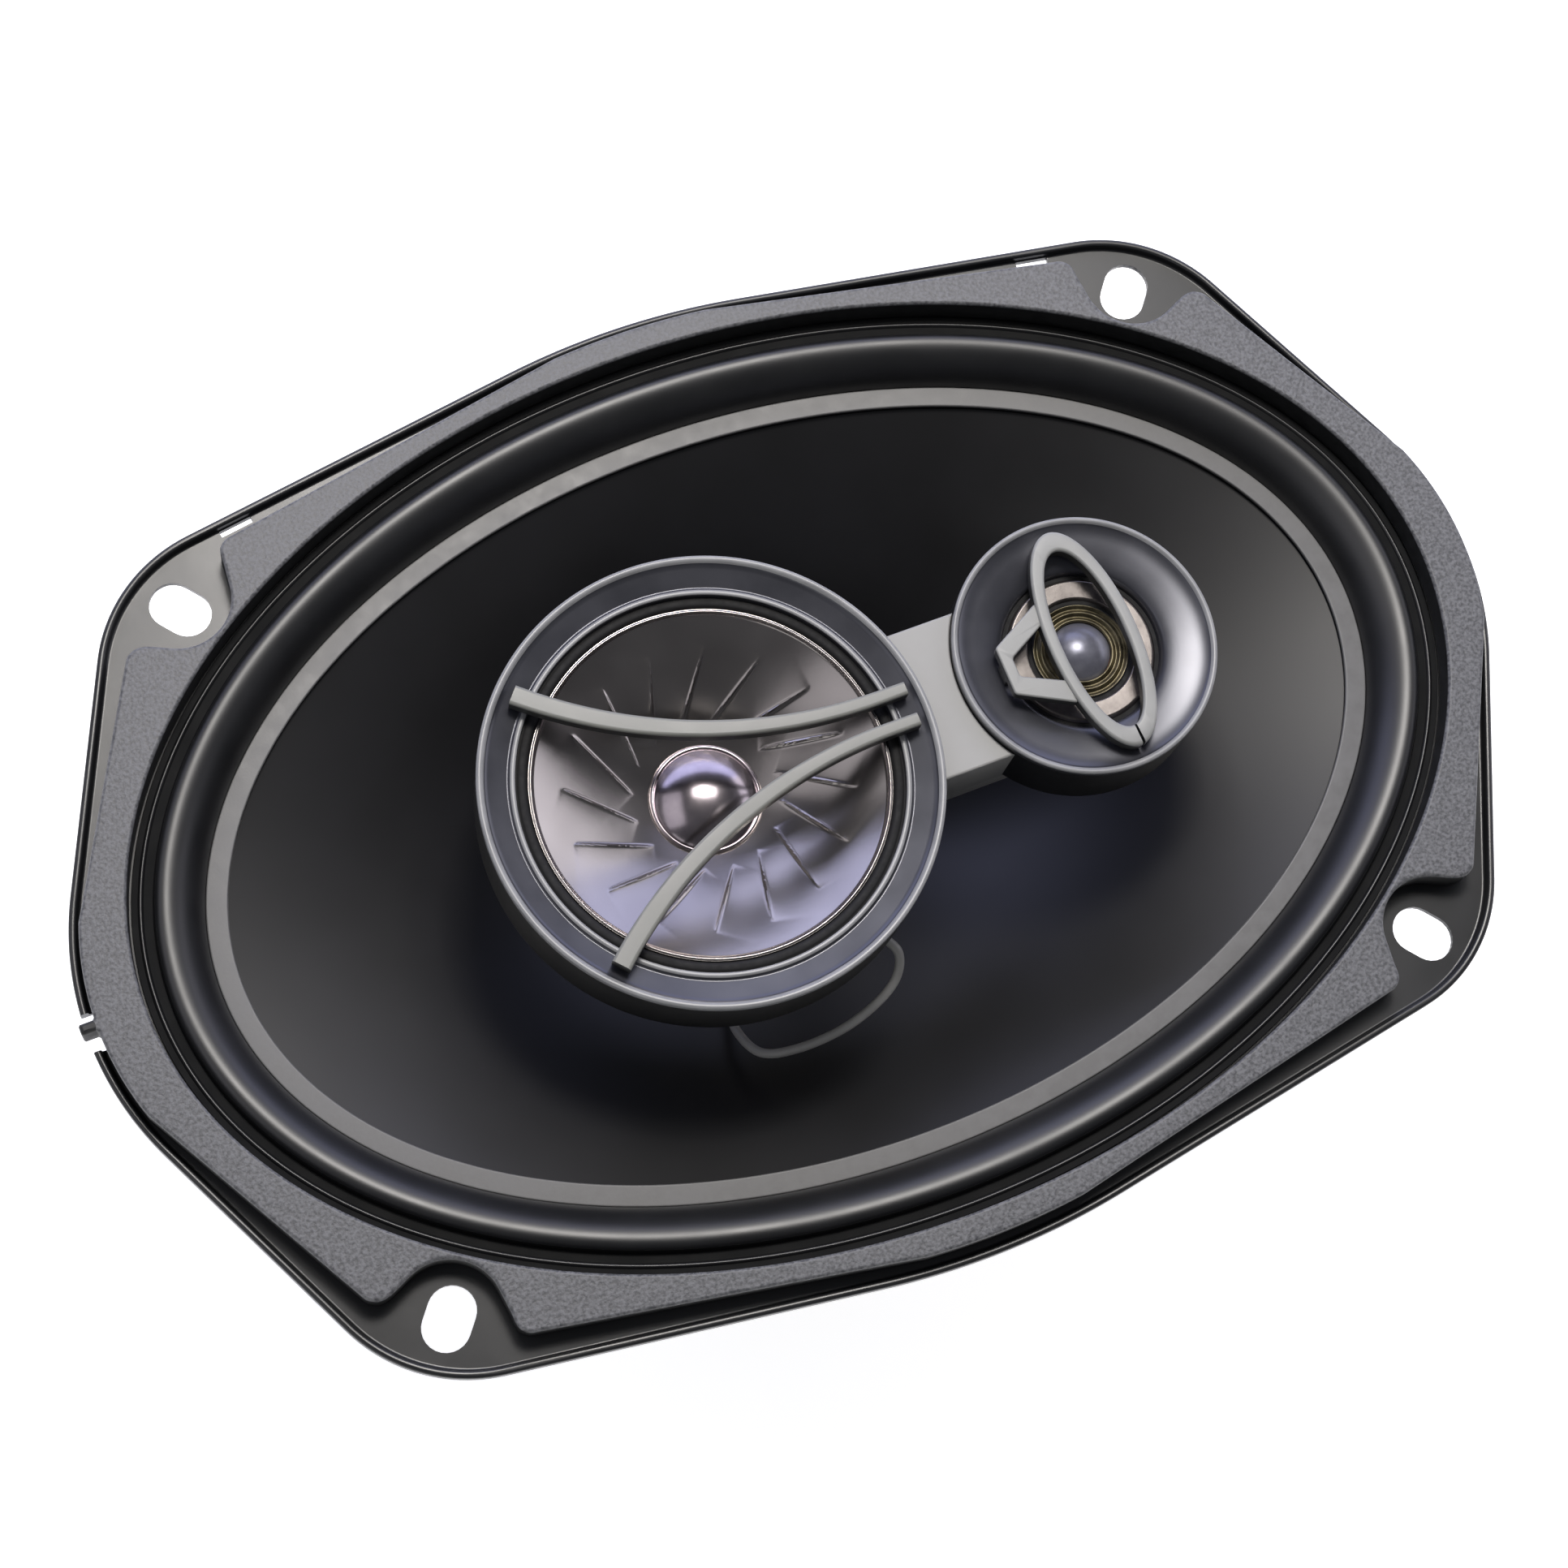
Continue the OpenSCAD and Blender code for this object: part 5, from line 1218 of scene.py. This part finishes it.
def creasedConeRings():
    c = midrange
    around = c["creases"] * 52
    angles = np.arange(around) * tau / around
    radii = np.concatenate([np.linspace(c["coneR"], 26.6, 12), np.linspace(26.3, c["capR"] + 0.04, 59), [c["capR"]]])
    front = []
    for r in radii:
        s = (c["coneR"] - r) / (c["coneR"] - c["capR"])
        z = c["coneZ"] * (1 - s) + c["capZ"] * s - c["sag"] * 4 * s * (1 - s)
        z += c["beadHigh"] * math.exp(-((r - c["beadR"]) / 0.25) ** 2)
        x, y = r * np.cos(angles), r * np.sin(angles)
        front.append(np.column_stack([c["x"] + x, y, z + creaseLift(x, y)]))
    back = [f - [0, 0, 0.35] for f in front[::-1]]
    coil = np.column_stack([c["x"] + 7.95 * np.cos(angles), 7.95 * np.sin(angles), np.full(around, c["capZ"])])
    return front + [coil, coil - [0, 0, 0.35]] + back


standIn("midrange_cone", joinRings(creasedConeRings(), True), mirrorFilm, "midrange_diaphragm",
        70, False)

# aluminised cap, pressed and polished: warm mirror with one tight highlight
brightFilm = grainedSurface("polishedAluminisedCap", {
    "dark": "#9f969c", "light": "#b9b0b4", "patch": 6, "roughness": 0.2, "spread": 0.03,
    "grain": 2.0, "grainHigh": 0.004, "metallic": 1.0})


def domeProfile(r, z, rise, t, steps=18):
    ball = (r * r + rise * rise) / (2 * rise)
    half = math.asin(r / ball)
    turns = np.linspace(0, half, steps)
    top = [(ball * math.sin(u), z + rise - ball + ball * math.cos(u)) for u in turns]
    low = [((ball - t) * math.sin(u), z + rise - ball + (ball - t) * math.cos(u)) for u in turns[::-1]]
    return top, low


capTop, capLow = domeProfile(7.9, midrange["capZ"] + 0.45, 2.75, 0.3)
capRim = [(8.05, 0.3), (8.25, 0.5, 0.1), (8.62, 0.42, 0.15), (8.68, 0.0), (7.95, 0.0)]
capProfile = capTop + [(r, midrange["capZ"] + rise, *f) for r, rise, *f in capRim] + capLow[1:]
standIn("midrange_dust_cap", turnedShape(midrange["x"], 0, capProfile, 128, False), brightFilm,
        "midrange_diaphragm", 60)

edgeProfile = [(27.75, 17.25), (28.2, 18.0, 0.4), (29.1, 18.0, 0.4), (29.5, 17.7), (33.5, 17.65), (33.5, 16.95),
               (29.2, 16.95), (28.9, 17.7, 0.3), (28.4, 17.7, 0.3), (28.0, 16.95), (26.7, 16.35), (26.7, 16.7)]
blendPiece(addPiece("midrange_surround", turnedShape(midrange["x"], 0, edgeProfile, 192), clothEdge, 60),
           "midrange_surround",
           lambda p: 1 - easeBetween(reachFrom(midrange["x"], p), 27.8, 29.3))

guard = {"arcR": 78.0, "centreX": 28.0, "gap": 2.6, "low": 19.3, "high": 21.9, "wideLeft": 3.1, "wideRight": 2.1,
         "leftR": 33.3, "rightR": 34.0, "edge": 0.55}


def guardBarShape(side):
    # a curved bar from the bezel's far side to the bridge side, thinner towards the tweeter
    g = guard
    line = [(g["centreX"] + g["arcR"] * math.sin(a), g["gap"] + g["arcR"] * (1 - math.cos(a)))
            for a in np.linspace(-0.85, 0, 90)]
    line += [(x, g["gap"]) for x in np.linspace(g["centreX"] + 0.6, 36, 12)]
    line = np.array([p for p in line if math.hypot(*p) < g["leftR"]])
    run = np.gradient(line, axis=0)
    run /= np.linalg.norm(run, axis=1, keepdims=True)
    across = np.column_stack([-run[:, 1], run[:, 0]])
    share = (line[:, 0] - line[0, 0]) / (line[-1, 0] - line[0, 0])
    half = ((g["wideLeft"] * (1 - share) + g["wideRight"] * share) / 2)[:, None]
    def edgeLine(where, z):
        xy = line + across * half * where
        return np.column_stack([midrange["x"] + xy[:, 0], side * xy[:, 1], np.full(len(line), z)])
    corners = [edgeLine(-1, g["low"]), edgeLine(-1, g["high"]), edgeLine(1, g["high"]), edgeLine(1, g["low"])]
    return joinRings(roundRings(corners, [0.2, g["edge"], g["edge"], 0.2], True), True, wrap=False)


barsPiece = addPiece("midrange_guard_bars", mergeMeshes(guardBarShape(1), guardBarShape(-1)), guardPlastic, 50)
# the bars' side walls take the dark grey as painted shade
twoToned(barsPiece, shadedSidePlastic, lambda p: p.z < guard["high"] - guard["edge"] + 0.04)
placePiece(barsPiece, "frame", ["midrange_guard_bars"])
print("midrange built")


# tweeter: shell, dished horn, dome, edge, guard ring and bracket

tweeter = {"x": 44.4, "domeR": 4.8, "domeRise": 2.1, "seat": 15.5}
potProfile = [(0, 6.0), (21.0, 6.0, 1.4), (21.0, 18.4, 0.1), (19.5, 18.4), (19.5, 15.5), (10.6, 15.5), (10.6, 13.5),
              (18.5, 11.5, 0.5), (18.5, 7.5, 1.0), (0, 7.5)]
standIn("tweeter_housing", turnedShape(tweeter["x"], 0, potProfile, 192, False), shellPlastic, "frame")
hornProfile = [(21.0, 18.4, 0.1), (21.0, 19.6, 0.45), (20.3, 19.7, 0.35), (19.9, 19.15, 0.3), (18.8, 18.7, 1.0),
               (16.4, 18.25, 1.6), (14.2, 17.7, 1.2), (13.0, 17.2, 0.5), (12.6, 16.6, 0.3), (12.45, 15.95),
               (19.2, 15.9),
               (19.2, 18.4)]
hornPiece = addPiece("tweeter_horn", turnedShape(tweeter["x"], 0, hornProfile, 256), dishPlastic, 60)
# the horn's rim bead takes the lighter grey as painted highlight
twoToned(hornPiece, beadHighlightPlastic, lambda p: reachFrom(tweeter["x"], p) > 19.95 and p.z > 18.9)
placePiece(hornPiece, "frame", ["tweeter_horn"])

# coated polymer film, hot pressed: blue grey satin that shows one soft highlight
domeFilm = grainedSurface("coatedDomeFilm", {
    "dark": "#70717d", "light": "#83848f", "patch": 3, "roughness": 0.32, "spread": 0.04,
    "grain": 0.8, "grainHigh": 0.004, "metallic": 0.5})
domeTop, domeLow = domeProfile(tweeter["domeR"], tweeter["seat"], tweeter["domeRise"], 0.25)
standIn("tweeter_dome", turnedShape(tweeter["x"], 0, domeTop + domeLow, 96, False), domeFilm,
        "tweeter_diaphragm", 70)

# the same film left in its gold vapour coat, with a bright clamping ring round it
goldFilm = grainedSurface("goldVapourFilm", {
    "dark": "#4c4636", "light": "#716a54", "patch": 2.5, "roughness": 0.32, "spread": 0.05,
    "grain": 0.6, "grainHigh": 0.01, "metallic": 0.9})
clampMetal = grainedSurface("stampedAluminiumRing", {
    "dark": "#5f5a58", "light": "#76716e", "patch": 3, "roughness": 0.32, "spread": 0.05,
    "grain": 0.5, "grainHigh": 0.008, "metallic": 0.85})


def tweeterEdgeProfile():
    z = tweeter["seat"]
    waves = [(r, z + 0.42 + 0.2 * math.sin((r - 4.8) * tau / 1.2)) for r in np.linspace(4.85, 7.6, 40)]
    return waves + [(7.8, z + 0.3), (8.3, z + 0.35), (8.6, z + 0.95, 0.2), (11.4, z + 1.05, 0.25),
                    (11.8, z + 0.4, 0.1), (13.1, z + 0.4), (13.1, z + 0.02), (4.85, z + 0.02)]


tweeterEdge = addPiece("tweeter_surround", turnedShape(tweeter["x"], 0, tweeterEdgeProfile(), 160), goldFilm, 50)
clampBand = (8.3, 11.75)
twoToned(tweeterEdge, clampMetal, lambda p: clampBand[0] < reachFrom(tweeter["x"], p) < clampBand[1]
         and p.z > tweeter["seat"] + 0.3)
# black cloth on the band inside the clamp ring, and on the band beyond it as painted shade in the gap under the
# horn's throat
twoToned(tweeterEdge, clothEdge, lambda p: 7.5 < reachFrom(tweeter["x"], p) < clampBand[0]
         or reachFrom(tweeter["x"], p) > clampBand[1])
blendPiece(tweeterEdge, "tweeter_surround",
           lambda p: 1 - easeBetween(reachFrom(tweeter["x"], p), 4.9, 8.0))

loop = {"a": 7.25, "b": 18.35, "sideWide": 2.0, "endWide": 3.3, "shift": 1.0, "low": 19.0, "high": 21.6,
        "splitTurn": -86.0, "splitHalf": 0.034, "edge": 0.6}


def guardRingShape():
    # tall oval ring, broader at its ends, split near the lower end
    g = loop
    split = math.radians(g["splitTurn"])
    angles = np.linspace(split + g["splitHalf"], split + tau - g["splitHalf"], 200)
    def line(a, b, z):
        return np.column_stack([tweeter["x"] + g["shift"] + a * np.cos(angles), b * np.sin(angles),
                                np.full(len(angles), z)])
    outer, inner = (g["a"], g["b"]), (g["a"] - g["sideWide"], g["b"] - g["endWide"])
    corners = [line(*outer, g["low"]), line(*outer, g["high"]), line(*inner, g["high"]), line(*inner, g["low"])]
    ring = joinRings(roundRings(corners, [0.25, g["edge"], g["edge"], 0.25], True), True, wrap=False)
    feet = [plateShape([softCorners([(tweeter["x"] - 0.2 + 1.2 * i, side * (g["b"] - 1.95) + 1.0 * j)
                                     for i, j in ((-1, -1), (1, -1), (1, 1), (-1, 1))], 0.4)], 18.4, 19.5, 0.15)
            for side in (1, -1)]
    return mergeMeshes(ring, *feet)


ringPiece = addPiece("tweeter_guard_ring", guardRingShape(), paleGuardPlastic, 50)
# the ring's side walls take the dark grey as painted shade
twoToned(ringPiece, shadedSidePlastic, lambda p: p.z < loop["high"] - loop["edge"] + 0.04)
placePiece(ringPiece, "frame", ["tweeter_guard_ring"])
bracketLine = [(-14.1, -4.1), (-5.4, -8.7), (-5.4, -4.9), (-12.2, -1.7), (-12.2, 1.4), (-5.4, 5.0), (-5.4, 8.4),
               (-14.1, 3.8)]
bracketTop = 21.1
bracketShape = plateShape([softCorners([(tweeter["x"] + x, y) for x, y in bracketLine], 0.5)], 19.0, bracketTop, 0.3)
legShape = plateShape([softCorners([(tweeter["x"] + x, y) for x, y in
                                    ((-14.1, -1.5), (-12.2, -1.5), (-12.2, 1.5), (-14.1, 1.5))], 0.4)],
                      17.4, 19.3, 0.15)
bracketPiece = addPiece("tweeter_guard_bracket", mergeMeshes(bracketShape, legShape), paleGuardPlastic, 50)
# the bracket's side walls take the dark grey as painted shade
twoToned(bracketPiece, shadedSidePlastic, lambda p: p.z < bracketTop - 0.25)
placePiece(bracketPiece, "frame", ["tweeter_guard_bracket"])
print("tweeter built")


# leads: the grey one from the midrange to the cone, and the two braided ones to the coil

midrangeRoute = [(-1, -26, 6.4), (0.5, -29, 3.2), (2, -32, 1.8), (0.8, -35, -1), (-3, -37.3, -3), (-9.5, -39, -5),
                 (-17, -39, -7), (-22, -37, -10), (-23.5, -31.5, -14), (-22, -26.5, -18), (-21.7, -25.4, -21.7)]
tinselRoute = [(7, -58.4, -47.7), (7, -58.4, -44.5), (7, -56.5, -41), (7, -52, -38.5), (7, -46, -37.5),
               (7, -40, -38), (6, -33, -37), (5, -26, -38.5), (4, -19, -39.5), (3.4, -13.8, -40.3)]


def alongRoute(path, point):
    # share of the way along a route of the nearest point on it
    steps = np.linalg.norm(np.diff(path, axis=0), axis=1)
    run = np.concatenate([[0], np.cumsum(steps)]) / steps.sum()
    return float(run[np.argmin(np.linalg.norm(path - np.array(point), axis=1))])


leadPath = smoothRoute(midrangeRoute, 8)
blendPiece(addPiece("midrange_lead", tubeShape(leadPath, 0.75), leadSleeve, 60), "midrange_lead",
           lambda p: easeBetween(alongRoute(leadPath, p), 0.12, 0.95))


def strandShapes(path, strands=4, radius=0.40, orbit=0.40, pitch=5.0):
    # round strands twisted about the route
    side, up = routeFrames(path)
    steps = np.concatenate([[0], np.cumsum(np.linalg.norm(np.diff(path, axis=0), axis=1))])
    made = []
    for k in range(strands):
        turn = steps / pitch * tau + k * tau / strands
        strand = path + orbit * (np.cos(turn)[:, None] * side + np.sin(turn)[:, None] * up)
        made.append(tubeShape(strand, radius, 10))
    return mergeMeshes(*made)


tinselPath = smoothRoute(tinselRoute, 9)
mirrored = tinselPath * [-1, 1, 1]
tinselShape = mergeMeshes(strandShapes(tinselPath), strandShapes(mirrored))
blendPiece(addPiece("tinsel_leads", tinselShape, tinselBraid, 60), "tinsel_leads",
           lambda p: easeBetween(alongRoute(tinselPath, (abs(p.x), p.y, p.z)), 0.15, 0.97))
print("leads built")


# CAD pieces that keep their shape and take a finish

finishes = {
    "bridge_screws": brightSteel, "midrange_yoke": zincSteel, "midrange_magnet": nickelMagnet,
    "midrange_pole_plate": zincSteel, "tweeter_yoke": zincSteel, "tweeter_magnet": nickelMagnet,
    "tweeter_pole_plate": zincSteel, "midrange_capacitor": shrinkSleeve, "tweeter_capacitor": shrinkSleeve,
    "voice_coil_former": amberFilm, "voice_coil": copperWire, "lead_eyelets": tinnedBrass,
    "midrange_voice_coil": copperWire, "tweeter_voice_coil": copperWire,
}
for nodeName, finish in finishes.items():
    slots = cadNodes[nodeName].data.materials
    if len(slots):
        for k in range(len(slots)):
            slots[k] = finish
    else:
        slots.append(finish)
print("CAD pieces finished:", len(finishes))
